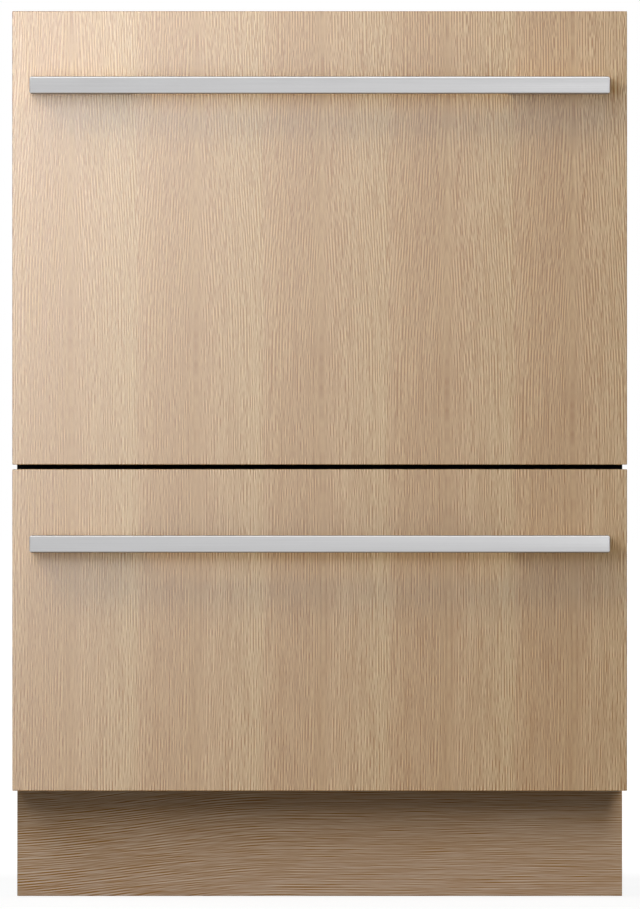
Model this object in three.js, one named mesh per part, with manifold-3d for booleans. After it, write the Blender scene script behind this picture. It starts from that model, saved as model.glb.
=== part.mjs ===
// Built-in dishwasher with two pull-out drawers behind veneered fronts, in millimetres.
// +Z is up and the drawers pull out along -Y. The origin is on the floor, midway between the left
// and right sides, and midway between the handles' faces and the back of the cabinet.
import * as THREE from "three";
import { mergeVertices } from "three/addons/utils/BufferGeometryUtils.js";
import Module from "manifold-3d";

const wasm = await Module();
wasm.setup();

// ---- Driving dimensions: clearances ----
const JOINT_GAP = 0.3; // between pieces that are fastened face to face
const RUNNING_GAP = 0.8; // between pieces that slide past each other

// ---- Driving dimensions: veneered fronts and toe kick ----
const FRONT_WIDTH = 606;
const FRONT_THICKNESS = 19;
const UPPER_FRONT_HEIGHT = 447;
const LOWER_FRONT_HEIGHT = 317;
const FRONT_GAP = 4.5; // between the two fronts
const TOE_SPACE = 105.5; // floor to the lower front's bottom edge
const TOE_SETBACK = 60; // from the fronts' face to the toe kick's face
const TOE_THICKNESS = 16;
const TOE_FLOOR_GAP = 0.5;
const TOE_RISE = 1.5; // how far the toe kick reaches up behind the lower front

// ---- Driving dimensions: handles ----
const HANDLE_LENGTH = 571;
const HANDLE_HEIGHT = 17;
const HANDLE_PROJECTION = 40;
const HANDLE_BAR_THICKNESS = 9;
const HANDLE_POST_LENGTH = 101;
const HANDLE_DROP = 73.5; // from a front's top edge to the middle of its bar

// ---- Driving dimensions: cabinet ----
const CABINET_WIDTH = 598;
const CABINET_DEPTH = 526;
const CABINET_BASE = 30; // floor to the cabinet's bottom edge
const CABINET_TOP_DROP = 4; // cabinet's top below the upper front's top edge
const SHEET = 1; // steel sheet
const HEM_DEPTH = 12; // doubled front edge of a side panel
const REAR_FLANGE = 15;
const TOP_PAN_HEIGHT = 10;
const BASE_TRAY_HEIGHT = 20;
const CENTRE_RAIL_HEIGHT = 16;
const CENTRE_RAIL_DEPTH = 24;
const CENTRE_RAIL_SHEET = 2;
const HOSE_HOLE_RADIUS = 25;
const HOSE_HOLE_INSET = 110; // from the cabinet's left side
const HOSE_HOLE_RISE = 70; // above the cabinet's bottom edge
const MAINS_HOLE_RADIUS = 9;
const MAINS_HOLE_INSET = 50;

// ---- Driving dimensions: control module and feet ----
const MODULE_WIDTH = 210;
const MODULE_DEPTH = 120;
const MODULE_HEIGHT = 44;
const MODULE_INSET = 90; // from the cabinet's right side and from the toe kick
const FOOT_PAD_RADIUS = 18;
const FOOT_PAD_HEIGHT = 8;
const FOOT_STEM_RADIUS = 5;
const FOOT_STEM_LENGTH = 72;
const FOOT_BORE_GAP = 0.4;
const FOOT_NUT_RADIUS = 12;
const FOOT_NUT_HEIGHT = 18;
const FOOT_INSET = 46; // from the sides, the toe kick and the back

// ---- Driving dimensions: telescopic slides ----
const RAIL_LENGTH = 470;
const RAIL_HEIGHT = 45;
const RAIL_DEPTH = 12.5; // whole slide, from the side panel to the tub's bracket
const RAIL_SHEET = 1.5;
const RAIL_RISE = 62; // slide's middle above the underside of the tub

// ---- Driving dimensions: drawer ----
const CARRIER_THICKNESS = 23.7;
const CARRIER_SIDE_GAP = 1; // each side, inside the cabinet's width
const CARRIER_WALL = 3;
const CARRIER_BOTTOM_GAP = 3.5; // above the front's bottom edge
const CARRIER_TOP_GAP = 4.5; // control strip's face below the front's top edge
const CARRIER_FRAME = 6; // solid border round the hollow back
const BUMPER_GAP = 3; // carrier to cabinet
const STRIP_THICKNESS = 3;
const STRIP_MARGIN = 1;
const STRIP_END_INSET = 16;
const BUTTON_LENGTH = 18;
const BUTTON_WIDTH = 10;
const BUTTON_HEIGHT = 7;
const BUTTON_PROUD = 1;
const BUTTON_TRAVEL = 1.5;
const BUTTON_INSET = 40; // from the end of the strip to the button's middle

const TUB_WALL = 3;
const TUB_FLOOR = 4;
const TUB_CORNER = 42;
const TUB_FLANGE = 7.7;
const TUB_BRACKET_WIDTH = 14;
const TUB_BRACKET_HEIGHT = 26;
const TUB_REAR_ROOM = 53; // between the tub and the cabinet's back, for the hoses

const PUMP_RAISE = 10; // pump's underside above the front's bottom edge
const PUMP_HEIGHT = 36;
const PUMP_RADIUS = 88;
const SPIGOT_RADIUS = 12;
const SUMP_RADIUS = 48;
const SUMP_WALL = 6;
const SUMP_DEPTH = 28;
const SUMP_OFFSET = 118; // behind the spray arm's axis
const DRAIN_SPIGOT_RADIUS = 11;
const DRAIN_SPIGOT_LENGTH = 34;

const FILTER_RADIUS = 36;
const FILTER_WALL = 2.5;
const FILTER_DEPTH = 22;
const FILTER_FLANGE = 9;
const FILTER_FLANGE_HEIGHT = 2.5;
const FILTER_GRIP_HEIGHT = 5;
const FILTER_GRIP_WIDTH = 6;

const ARM_REACH = 208;
const ARM_ROOT_WIDTH = 46;
const ARM_TIP_WIDTH = 26;
const ARM_SWEEP = 16; // sideways curve of each half
const ARM_HEIGHT = 12;
const ARM_HUB_RADIUS = 27;
const ARM_HUB_HEIGHT = 20;
const ARM_LIFT = 11; // hub's underside above the tub's floor

// ---- Driving dimensions: lid ----
const LID_TRAVEL = 12.5;
const LID_SHEET = 3;
const LID_RIB_HEIGHT = 12;
const LID_RIB_WIDTH = 6;
const LID_TOP_ROOM = 2; // between the top panel's rim and the lid's actuators
const LID_EDGE_GAP = 4; // between the lid's front edge and the carrier
const SEAL_WIDTH = 8;
const SEAL_HEIGHT = 6;
const LID_EAR_LENGTH = 12;
const LID_EAR_HEIGHT = 6;
const LID_EAR_SPREAD = 240; // between the front and rear ears
const LID_EAR_REACH = 8; // into the actuator's slot
const ACTUATOR_DEPTH = 13.5;
const ACTUATOR_LENGTH = 320;
const ACTUATOR_LIP = 4; // below and above the slot

// ---- Driving dimensions: basket ----
const WIRE = 4;
const RING = 6;
const BASKET_WALL_GAP = 9; // to the tub's walls
const BASKET_LIFT = 44; // basket's floor above the tub's floor
const BASKET_TOP_GAP = 92; // basket's top ring below the tub's rim
const BASKET_CORNER = 34;
const CORNER_STEPS = 4; // flats round the inside of a basket corner
const TINE_WIRE = 3;
const LONG_WIRE_PITCH = 75;
const CROSS_WIRE_PITCH = 75;
const LEG_RADIUS = 6;
const TINES_BETWEEN_WIRES = 2; // from one cross wire to the next
const TINE_HEIGHT = 72;
const FIXED_ROW_WIRE = 2; // the long wire that carries the fixed row, counted from 0 at the left
const FOLD_ROW_OFFSET = 62; // from the middle to the folding row
const FOLD_ROD_RADIUS = 2;
const CLIP_SIZE = 12;
const CLIP_LENGTH = 7;
const CLIP_BORE_GAP = 0.4;

// ---- Driving dimensions: detergent dispenser ----
const DISPENSER_WIDTH = 168;
const DISPENSER_HEIGHT = 66;
const DISPENSER_DEPTH = 24;
const DISPENSER_FLANGE = 6;
const DISPENSER_FLANGE_THICKNESS = 3;
const DISPENSER_TOP_GAP = 12; // below the tub's rim
const DISPENSER_ROOM = 4; // extra room at the front of the basket
const DISPENSER_OFFSET = -70; // sideways from the middle
const CUP_WIDTH = 64;
const CUP_HEIGHT = 44;
const CUP_DEPTH = 18;
const CUP_INSET = 14; // from the dispenser's left edge
const CAP_RADIUS = 19;
const CAP_HEIGHT = 3;
const FLAP_THICKNESS = 3;
const FLAP_OVERLAP = 4; // round the cup
const FLAP_PIN_RADIUS = 1.3;
const FLAP_PIN_GAP = 0.2;
const FLAP_EAR = 5;

// ---- Places worked out from the driving dimensions ----
const overallDepth =
  HANDLE_PROJECTION + FRONT_THICKNESS + JOINT_GAP + CARRIER_THICKNESS + BUMPER_GAP + CABINET_DEPTH;
const yHandleFace = -overallDepth / 2;
const yFrontFace = yHandleFace + HANDLE_PROJECTION;
const yFrontBack = yFrontFace + FRONT_THICKNESS;
const yCarrierFace = yFrontBack + JOINT_GAP;
const yCarrierBack = yCarrierFace + CARRIER_THICKNESS;
const yCabinetFront = yCarrierBack + BUMPER_GAP;
const yCabinetBack = overallDepth / 2;
const yRearPanel = yCabinetBack - SHEET;
const yRearFlange = yRearPanel - JOINT_GAP - SHEET;
const yInsideBack = yRearFlange - JOINT_GAP;
const yToeFace = yFrontFace + TOE_SETBACK;
const yToeBack = yToeFace + TOE_THICKNESS;
const yRails = yCabinetFront + HEM_DEPTH + RUNNING_GAP;

const xSide = CABINET_WIDTH / 2;
const xInside = xSide - SHEET;
const xWall = xInside - JOINT_GAP; // outer face of what is fastened to a side panel
const xTub = xWall - RAIL_DEPTH - JOINT_GAP - TUB_BRACKET_WIDTH;
const xTubInside = xTub - TUB_WALL;
const xTubFlange = xTub + TUB_FLANGE;
const yTubFront = yCarrierBack + JOINT_GAP + TUB_FLANGE;
const yTubBack = yCabinetBack - TUB_REAR_ROOM;
const yTubFrontInside = yTubFront + TUB_WALL;
const yTubBackInside = yTubBack - TUB_WALL;
const yArm = (yTubFrontInside + yTubBackInside) / 2; // spray arm's axis

const zLowerFront = TOE_SPACE;
const zLowerFrontTop = zLowerFront + LOWER_FRONT_HEIGHT;
const zUpperFront = zLowerFrontTop + FRONT_GAP;
const zCabinetTop = zUpperFront + UPPER_FRONT_HEIGHT - CABINET_TOP_DROP;
const zToeTop = TOE_SPACE + TOE_RISE;
const zCentreRail = zLowerFrontTop + FRONT_GAP / 2;

// Heights inside one bay, above its front's bottom edge.
const zTubUnder = PUMP_RAISE + PUMP_HEIGHT + JOINT_GAP;
const zTubFloor = zTubUnder + TUB_FLOOR;
const zRail = zTubUnder + RAIL_RISE;
const lidHeight = LID_SHEET + LID_RIB_HEIGHT;
const zSealAboveRim = JOINT_GAP + LID_TRAVEL; // with the lid up
const zLidAboveRim = zSealAboveRim + SEAL_HEIGHT + JOINT_GAP;
const zSlotAboveRim = zLidAboveRim + LID_SHEET + LID_EAR_HEIGHT + RUNNING_GAP;
const rimDrop = CABINET_TOP_DROP + TOP_PAN_HEIGHT + LID_TOP_ROOM + ACTUATOR_LIP + zSlotAboveRim;

// ---- Finishes ----
const finish = (color, roughness, metalness) =>
  new THREE.MeshStandardMaterial({ color, roughness, metalness });
const OAK = finish(0xd2b48e, 0.6, 0);
const OAK_TOE = finish(0x9c8166, 0.65, 0);
const BRUSHED_ALUMINIUM = finish(0xc6c7c8, 0.35, 1);
const GALVANISED = finish(0xb4b8ba, 0.45, 0.9);
const RAIL_STEEL = finish(0xa9adb0, 0.35, 1);
const BLACK_STEEL = finish(0x101011, 0.5, 0.3);
const GREY_PLASTIC = finish(0x8e9296, 0.5, 0);
const DARK_PLASTIC = finish(0x2b2d30, 0.45, 0);
const GLOSS_BLACK = finish(0x0c0c0e, 0.15, 0);
const TUB_PLASTIC = finish(0xc9ccce, 0.4, 0);
const LID_PLASTIC = finish(0xd8dadb, 0.45, 0);
const RUBBER = finish(0x3a3c3e, 0.8, 0);
const COATED_WIRE = finish(0x7d8287, 0.4, 0);
const BUTTON_METAL = finish(0xb9bbbd, 0.3, 0.9);

// ---- Solids ----
// Points snap to a fine grid, so that faces meant to be flush share one plane exactly.
const GRID_STEPS = 1024; // per millimetre
const MERGE_DISTANCE = 1e-4;

function solidOf(geometry) {
  const bare = geometry.clone();
  bare.deleteAttribute("normal");
  bare.deleteAttribute("uv");
  const points = bare.attributes.position.array;
  points.forEach((value, i) => {
    points[i] = Math.round(value * GRID_STEPS) / GRID_STEPS;
  });
  const merged = mergeVertices(bare, MERGE_DISTANCE);
  return new wasm.Manifold(
    new wasm.Mesh({
      numProp: 3,
      vertProperties: merged.attributes.position.array,
      triVerts: new Uint32Array(merged.index.array),
    }),
  );
}

function meshOf(name, solid, material) {
  const { vertProperties, triVerts } = solid.getMesh();
  const indexed = new THREE.BufferGeometry()
    .setAttribute("position", new THREE.BufferAttribute(vertProperties, 3))
    .setIndex(new THREE.BufferAttribute(triVerts, 1));
  const geometry = indexed.toNonIndexed();
  geometry.computeVertexNormals();
  const mesh = new THREE.Mesh(geometry, material);
  mesh.name = name;
  return mesh;
}

const join = (...solids) => wasm.Manifold.union(solids.flat());
const cut = (solid, ...tools) => solid.subtract(join(tools.flat()));

// A block between two corners, each axis given as its two limits in either order.
function block(...limits) {
  const sizes = limits.map(([a, b]) => Math.abs(b - a));
  const middles = limits.map(([a, b]) => (a + b) / 2);
  return solidOf(new THREE.BoxGeometry(...sizes).translate(...middles));
}

// An upright round bar.
function upright(radius, [x, y], [z0, z1], sides = 20) {
  const bar = new THREE.CylinderGeometry(radius, radius, z1 - z0, sides).rotateX(Math.PI / 2);
  return solidOf(bar.translate(x, y, (z0 + z1) / 2));
}

// A round bar along X or Y.
function lying(axis, radius, [from, to], [across, z], sides = 12) {
  const bar = new THREE.CylinderGeometry(radius, radius, to - from, sides);
  const middle = (from + to) / 2;
  if (axis === "x") return solidOf(bar.rotateZ(Math.PI / 2).translate(middle, across, z));
  return solidOf(bar.translate(across, middle, z));
}

// A flat outline in plan, raised between two heights.
function raised(outline, [z0, z1], curveSegments = 3) {
  const options = { depth: z1 - z0, bevelEnabled: false, curveSegments };
  return solidOf(new THREE.ExtrudeGeometry(outline, options).translate(0, 0, z0));
}

// A rectangle in plan with round corners, centred on X.
function roundedRectangle(halfWidth, [y0, y1], radius, outline = new THREE.Shape()) {
  outline.moveTo(-halfWidth + radius, y0);
  outline.lineTo(halfWidth - radius, y0);
  outline.absarc(halfWidth - radius, y0 + radius, radius, -Math.PI / 2, 0);
  outline.lineTo(halfWidth, y1 - radius);
  outline.absarc(halfWidth - radius, y1 - radius, radius, 0, Math.PI / 2);
  outline.lineTo(-halfWidth + radius, y1);
  outline.absarc(-halfWidth + radius, y1 - radius, radius, Math.PI / 2, Math.PI);
  outline.lineTo(-halfWidth, y0 + radius);
  outline.absarc(-halfWidth + radius, y0 + radius, radius, Math.PI, Math.PI * 1.5);
  return outline;
}

// A flat ring that follows a rounded rectangle, `width` wide inwards.
function roundedRing(halfWidth, [y0, y1], radius, width, heights) {
  const outer = roundedRectangle(halfWidth, [y0, y1], radius);
  const inner = new THREE.Path();
  roundedRectangle(halfWidth - width, [y0 + width, y1 - width], radius - width, inner);
  outer.holes.push(inner);
  return raised(outer, heights);
}

const spread = (first, last, pitch) => {
  const count = Math.max(2, Math.round((last - first) / pitch) + 1);
  return Array.from({ length: count }, (_, i) => first + ((last - first) * i) / (count - 1));
};

// ---- Cabinet ----
function sidePanel(name, side) {
  const heights = [CABINET_BASE, zCabinetTop];
  const sheet = join(
    block([side * xInside, side * xSide], [yCabinetFront, yCabinetBack], heights),
    block([side * (xInside - SHEET), side * xSide], [yCabinetFront, yCabinetFront + HEM_DEPTH], heights),
    block([side * (xSide - REAR_FLANGE), side * xSide], [yRearFlange, yRearFlange + SHEET], heights),
  );
  const toeNotch = block(
    [side * (xSide + REAR_FLANGE), side * (xSide - REAR_FLANGE)],
    [yCabinetFront - HEM_DEPTH, yToeBack + JOINT_GAP],
    [0, zToeTop + JOINT_GAP],
  );
  return meshOf(name, cut(sheet, toeNotch), GALVANISED);
}

function topPanel() {
  const reach = [yCabinetFront, yInsideBack];
  const hollow = block(
    [-xWall + SHEET, xWall - SHEET],
    [reach[0] + SHEET, reach[1] - SHEET],
    [zCabinetTop - 2 * TOP_PAN_HEIGHT, zCabinetTop - SHEET],
  );
  // The pan sits behind the doubled front edges of the side panels.
  const hemNotch = (side) =>
    block(
      [side * (xInside - SHEET - JOINT_GAP), side * xSide],
      [yCabinetFront - SHEET, yCabinetFront + HEM_DEPTH + JOINT_GAP],
      [zCabinetTop - 2 * TOP_PAN_HEIGHT, zCabinetTop + SHEET],
    );
  const pan = block([-xWall, xWall], reach, [zCabinetTop - TOP_PAN_HEIGHT, zCabinetTop]);
  return meshOf("top_panel", cut(pan, hollow, hemNotch(-1), hemNotch(1)), GALVANISED);
}

function rearPanel() {
  const z = CABINET_BASE + HOSE_HOLE_RISE;
  const depth = [yRearPanel - SHEET, yCabinetBack + SHEET];
  const hoseHole = lying("y", HOSE_HOLE_RADIUS, depth, [-xSide + HOSE_HOLE_INSET, z], 24);
  const mainsHole = lying("y", MAINS_HOLE_RADIUS, depth, [-xSide + MAINS_HOLE_INSET, z], 16);
  const sheet = block([-xWall, xWall], [yRearPanel, yCabinetBack], [CABINET_BASE, zCabinetTop]);
  return meshOf("rear_panel", cut(sheet, hoseHole, mainsHole), GALVANISED);
}

const yTray = yToeBack + JOINT_GAP;
const footPlaces = [
  ["front_left_foot", -xSide + FOOT_INSET, yTray + FOOT_INSET],
  ["front_right_foot", xSide - FOOT_INSET, yTray + FOOT_INSET],
  ["rear_left_foot", -xSide + FOOT_INSET, yInsideBack - FOOT_INSET],
  ["rear_right_foot", xSide - FOOT_INSET, yInsideBack - FOOT_INSET],
];

function baseTray() {
  const reach = [yTray, yInsideBack];
  const rim = CABINET_BASE + BASE_TRAY_HEIGHT;
  const hollow = block(
    [-xWall + SHEET, xWall - SHEET],
    [reach[0] + SHEET, reach[1] - SHEET],
    [CABINET_BASE + SHEET, rim + SHEET],
  );
  const tray = cut(block([-xWall, xWall], reach, [CABINET_BASE, rim]), hollow);
  const nutTop = CABINET_BASE + FOOT_NUT_HEIGHT;
  const nuts = footPlaces.map(([, x, y]) => upright(FOOT_NUT_RADIUS, [x, y], [CABINET_BASE, nutTop], 6));
  const bores = footPlaces.map(([, x, y]) =>
    upright(FOOT_STEM_RADIUS + FOOT_BORE_GAP, [x, y], [CABINET_BASE - SHEET, nutTop + SHEET], 12),
  );
  return meshOf("base_tray", cut(join(tray, nuts), bores), GALVANISED);
}

function foot([name, x, y]) {
  const pad = upright(FOOT_PAD_RADIUS, [0, 0], [0, FOOT_PAD_HEIGHT]);
  const stem = upright(FOOT_STEM_RADIUS, [0, 0], [0, FOOT_STEM_LENGTH], 12);
  const mesh = meshOf(name, join(pad, stem), DARK_PLASTIC);
  mesh.position.set(x, y, 0);
  return mesh;
}

function centreRail() {
  const x = xInside - SHEET - JOINT_GAP;
  const heights = [zCentreRail - CENTRE_RAIL_HEIGHT / 2, zCentreRail + CENTRE_RAIL_HEIGHT / 2];
  const hollow = block(
    [-x - SHEET, x + SHEET],
    [yCabinetFront + CENTRE_RAIL_SHEET, yCabinetFront + 2 * CENTRE_RAIL_DEPTH],
    [heights[0] + CENTRE_RAIL_SHEET, heights[1] - CENTRE_RAIL_SHEET],
  );
  const bar = block([-x, x], [yCabinetFront, yCabinetFront + CENTRE_RAIL_DEPTH], heights);
  return meshOf("centre_rail", cut(bar, hollow), BLACK_STEEL);
}

function toeKick() {
  const board = block([-xSide, xSide], [yToeFace, yToeBack], [TOE_FLOOR_GAP, zToeTop]);
  return meshOf("toe_kick", board, OAK_TOE);
}

function controlModule() {
  const x = xSide - MODULE_INSET;
  const y = yTray + MODULE_INSET;
  const z = CABINET_BASE + SHEET + JOINT_GAP;
  const box = block([x - MODULE_WIDTH, x], [y, y + MODULE_DEPTH], [z, z + MODULE_HEIGHT]);
  return meshOf("control_module", box, DARK_PLASTIC);
}

// ---- Telescopic slides ----
// A channel along Y: its web stands at `web`, and its flanges reach from there to `lips`.
function channel(name, side, web, lips, height, heightMiddle) {
  const inward = Math.sign(lips - web);
  const [low, high] = [heightMiddle - height / 2, heightMiddle + height / 2];
  const reach = [yRails, yRails + RAIL_LENGTH];
  const solid = join(
    block([side * web, side * (web + inward * RAIL_SHEET)], reach, [low, high]),
    block([side * web, side * lips], reach, [low, low + RAIL_SHEET]),
    block([side * web, side * lips], reach, [high - RAIL_SHEET, high]),
  );
  return meshOf(name, solid, RAIL_STEEL);
}

function slideRails(bay, hand, side) {
  const step = RAIL_SHEET + RUNNING_GAP;
  const inner = xWall - RAIL_DEPTH;
  return [
    channel(`${bay}_${hand}_cabinet_rail`, side, xWall, inner + step, RAIL_HEIGHT, zRail),
    channel(`${bay}_${hand}_middle_rail`, side, xWall - step, inner + step, RAIL_HEIGHT - 2 * step, zRail),
    channel(`${bay}_${hand}_drawer_rail`, side, inner, xWall - 2 * step, RAIL_HEIGHT - 4 * step, zRail),
  ];
}

// ---- Front of a drawer ----
function frontPanel(bay, height) {
  const board = block([-FRONT_WIDTH / 2, FRONT_WIDTH / 2], [yFrontFace, yFrontBack], [0, height]);
  return meshOf(`${bay}_front_panel`, board, OAK);
}

function handle(bay, height) {
  const x = HANDLE_LENGTH / 2;
  const middle = height - HANDLE_DROP;
  const heights = [middle - HANDLE_HEIGHT / 2, middle + HANDLE_HEIGHT / 2];
  const post = (side) =>
    block([side * (x - HANDLE_POST_LENGTH), side * x], [yHandleFace, yFrontFace - JOINT_GAP], heights);
  const bar = block([-x, x], [yHandleFace, yHandleFace + HANDLE_BAR_THICKNESS], heights);
  return meshOf(`${bay}_handle`, join(bar, post(-1), post(1)), BRUSHED_ALUMINIUM);
}

const xStrip = xSide - CARRIER_SIDE_GAP - STRIP_END_INSET;
const xButton = xStrip - BUTTON_INSET;
const yButton = (yCarrierFace + yCarrierBack) / 2;

function buttonWell(side, gap, heights) {
  return block(
    [side * xButton - BUTTON_LENGTH / 2 - gap, side * xButton + BUTTON_LENGTH / 2 + gap],
    [yButton - BUTTON_WIDTH / 2 - gap, yButton + BUTTON_WIDTH / 2 + gap],
    heights,
  );
}

function drawerCarrier(bay, height) {
  const x = xSide - CARRIER_SIDE_GAP;
  const stripTop = height - CARRIER_TOP_GAP;
  const top = stripTop - STRIP_THICKNESS - JOINT_GAP;
  const rim = height - rimDrop;
  const body = block([-x, x], [yCarrierFace, yCarrierBack], [CARRIER_BOTTOM_GAP, top]);
  const hollow = block(
    [-x + CARRIER_FRAME, x - CARRIER_FRAME],
    [yCarrierFace + CARRIER_WALL, yCarrierBack + CARRIER_WALL],
    [CARRIER_BOTTOM_GAP + CARRIER_FRAME, rim - CARRIER_FRAME],
  );
  const wellFloor = stripTop + BUTTON_PROUD - BUTTON_HEIGHT - BUTTON_TRAVEL - RUNNING_GAP;
  const wells = [-1, 1].map((side) => buttonWell(side, RUNNING_GAP, [wellFloor, top + SHEET]));
  return meshOf(`${bay}_drawer_carrier`, cut(body, hollow, wells), GREY_PLASTIC);
}

function controlStrip(bay, height) {
  const top = height - CARRIER_TOP_GAP;
  const strip = block(
    [-xStrip, xStrip],
    [yCarrierFace + STRIP_MARGIN, yCarrierBack - STRIP_MARGIN],
    [top - STRIP_THICKNESS, top],
  );
  const holes = [-1, 1].map((side) =>
    buttonWell(side, RUNNING_GAP / 2, [top - 2 * STRIP_THICKNESS, top + STRIP_THICKNESS]),
  );
  return meshOf(`${bay}_control_strip`, cut(strip, holes), GLOSS_BLACK);
}

function button(name, side, height) {
  const top = height - CARRIER_TOP_GAP + BUTTON_PROUD;
  return meshOf(name, buttonWell(side, 0, [top - BUTTON_HEIGHT, top]), BUTTON_METAL);
}

// ---- Tub, pump, filter and spray arm ----
const xDispenser = [DISPENSER_OFFSET - DISPENSER_WIDTH / 2, DISPENSER_OFFSET + DISPENSER_WIDTH / 2];

function tub(bay, height) {
  const rim = height - rimDrop;
  const outside = raised(roundedRectangle(xTub, [yTubFront, yTubBack], TUB_CORNER), [zTubUnder, rim]);
  const flange = raised(
    roundedRectangle(xTubFlange, [yTubFront - TUB_FLANGE, yTubBack + TUB_FLANGE], TUB_CORNER + TUB_FLANGE),
    [rim - TUB_WALL, rim],
  );
  const bracket = (side) =>
    block(
      [side * (xTub - TUB_WALL / 2), side * (xTub + TUB_BRACKET_WIDTH)],
      [yRails, yTubBack - TUB_CORNER],
      [zRail - TUB_BRACKET_HEIGHT / 2, zRail + TUB_BRACKET_HEIGHT / 2],
    );
  const inside = raised(
    roundedRectangle(xTubInside, [yTubFrontInside, yTubBackInside], TUB_CORNER - TUB_WALL),
    [zTubFloor, rim + TUB_WALL],
  );
  const floorDepth = [zTubUnder - TUB_FLOOR, zTubFloor + TUB_FLOOR];
  const spigotHole = upright(SPIGOT_RADIUS + RUNNING_GAP, [0, yArm], floorDepth);
  const sumpHole = upright(FILTER_RADIUS + RUNNING_GAP, [0, yArm + SUMP_OFFSET], floorDepth, 24);
  const dispenserTop = rim - DISPENSER_TOP_GAP;
  const dispenserHole = block(
    [xDispenser[0] - RUNNING_GAP, xDispenser[1] + RUNNING_GAP],
    [yTubFront - TUB_WALL, yTubFrontInside + TUB_WALL],
    [dispenserTop - DISPENSER_HEIGHT - RUNNING_GAP, dispenserTop + RUNNING_GAP],
  );
  const shell = cut(join(outside, flange, bracket(-1), bracket(1)), inside);
  return meshOf(`${bay}_tub`, cut(shell, spigotHole, sumpHole, dispenserHole), TUB_PLASTIC);
}

function washPump(bay) {
  const top = zTubUnder - JOINT_GAP;
  const heights = [PUMP_RAISE, top];
  const ySump = yArm + SUMP_OFFSET;
  const spigotTop = zTubFloor + ARM_LIFT + ARM_HUB_HEIGHT;
  const drainHeight = PUMP_RAISE + DRAIN_SPIGOT_RADIUS + RUNNING_GAP;
  const body = join(
    upright(PUMP_RADIUS, [0, yArm], heights, 24),
    upright(SUMP_RADIUS, [0, ySump], heights, 24),
    block([-SUMP_RADIUS, SUMP_RADIUS], [yArm, ySump], heights),
    upright(SPIGOT_RADIUS, [0, yArm], [PUMP_RAISE, spigotTop]),
    lying("y", DRAIN_SPIGOT_RADIUS, [ySump, ySump + SUMP_RADIUS + DRAIN_SPIGOT_LENGTH], [0, drainHeight]),
  );
  const sump = upright(SUMP_RADIUS - SUMP_WALL, [0, ySump], [top - SUMP_DEPTH, top + JOINT_GAP], 24);
  return meshOf(`${bay}_wash_pump`, cut(body, sump), DARK_PLASTIC);
}

function drainFilter(bay) {
  const seat = JOINT_GAP + FILTER_FLANGE_HEIGHT;
  const profile = [
    [FILTER_RADIUS - FILTER_WALL, -FILTER_DEPTH],
    [FILTER_RADIUS, -FILTER_DEPTH],
    [FILTER_RADIUS, JOINT_GAP],
    [FILTER_RADIUS + FILTER_FLANGE, JOINT_GAP],
    [FILTER_RADIUS + FILTER_FLANGE - 1, seat],
    [0, seat],
    [0, seat - FILTER_WALL],
    [FILTER_RADIUS - FILTER_WALL, seat - FILTER_WALL],
    [FILTER_RADIUS - FILTER_WALL, -FILTER_DEPTH],
  ];
  const points = profile.map(([radius, z]) => new THREE.Vector2(radius, z));
  const cup = solidOf(new THREE.LatheGeometry(points, 24).rotateX(Math.PI / 2));
  const grip = block(
    [-FILTER_RADIUS + FILTER_WALL, FILTER_RADIUS - FILTER_WALL],
    [-FILTER_GRIP_WIDTH / 2, FILTER_GRIP_WIDTH / 2],
    [seat - FILTER_WALL / 2, seat + FILTER_GRIP_HEIGHT],
  );
  const mesh = meshOf(`${bay}_drain_filter`, join(cup, grip), GREY_PLASTIC);
  mesh.position.set(0, yArm + SUMP_OFFSET, zTubFloor);
  return mesh;
}

function sprayArm(bay) {
  const [root, tip] = [ARM_ROOT_WIDTH / 2, ARM_TIP_WIDTH / 2];
  const end = ARM_REACH - tip;
  const blade = new THREE.Shape();
  blade.moveTo(0, -root);
  blade.quadraticCurveTo(end / 2, -root - ARM_SWEEP, end, -tip);
  blade.absarc(end, 0, tip, -Math.PI / 2, Math.PI / 2);
  blade.quadraticCurveTo(end / 2, root - ARM_SWEEP, 0, root);
  const bladeBase = (ARM_HUB_HEIGHT - ARM_HEIGHT) / 2;
  const half = new THREE.ExtrudeGeometry(blade, { depth: ARM_HEIGHT, bevelEnabled: false, curveSegments: 5 });
  half.translate(0, 0, bladeBase);
  const otherHalf = half.clone().rotateZ(Math.PI);
  const hub = upright(ARM_HUB_RADIUS, [0, 0], [0, ARM_HUB_HEIGHT], 24);
  const bore = upright(SPIGOT_RADIUS + RUNNING_GAP / 2, [0, 0], [-ARM_HUB_HEIGHT, 2 * ARM_HUB_HEIGHT]);
  const mesh = meshOf(
    `${bay}_spray_arm`,
    cut(join(solidOf(half), solidOf(otherHalf), hub), bore),
    GREY_PLASTIC,
  );
  mesh.position.set(0, yArm, zTubFloor + ARM_LIFT);
  return mesh;
}

// ---- Lid and its actuators ----
const xSeal = xTub + SEAL_WIDTH / 2;
const ySeal = [yTubFront - SEAL_WIDTH / 2, yTubBack + SEAL_WIDTH / 2];
const lidCorner = TUB_CORNER + SEAL_WIDTH / 2;
const xActuator = xWall - ACTUATOR_DEPTH;
const earPlaces = [yArm - LID_EAR_SPREAD / 2, yArm + LID_EAR_SPREAD / 2];

function lid(bay, height) {
  const base = height - rimDrop + zLidAboveRim;
  const sheet = raised(roundedRectangle(xSeal, ySeal, lidCorner), [base, base + LID_SHEET]);
  const rib = roundedRing(xSeal, ySeal, lidCorner, LID_RIB_WIDTH, [base, base + lidHeight]);
  const ear = (side) =>
    earPlaces.map((y) =>
      block(
        [side * (xSeal - LID_RIB_WIDTH), side * (xActuator + LID_EAR_REACH)],
        [y - LID_EAR_LENGTH / 2, y + LID_EAR_LENGTH / 2],
        [base + LID_SHEET, base + LID_SHEET + LID_EAR_HEIGHT],
      ),
    );
  return meshOf(`${bay}_lid`, join(sheet, rib, ear(-1), ear(1)), LID_PLASTIC);
}

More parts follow.
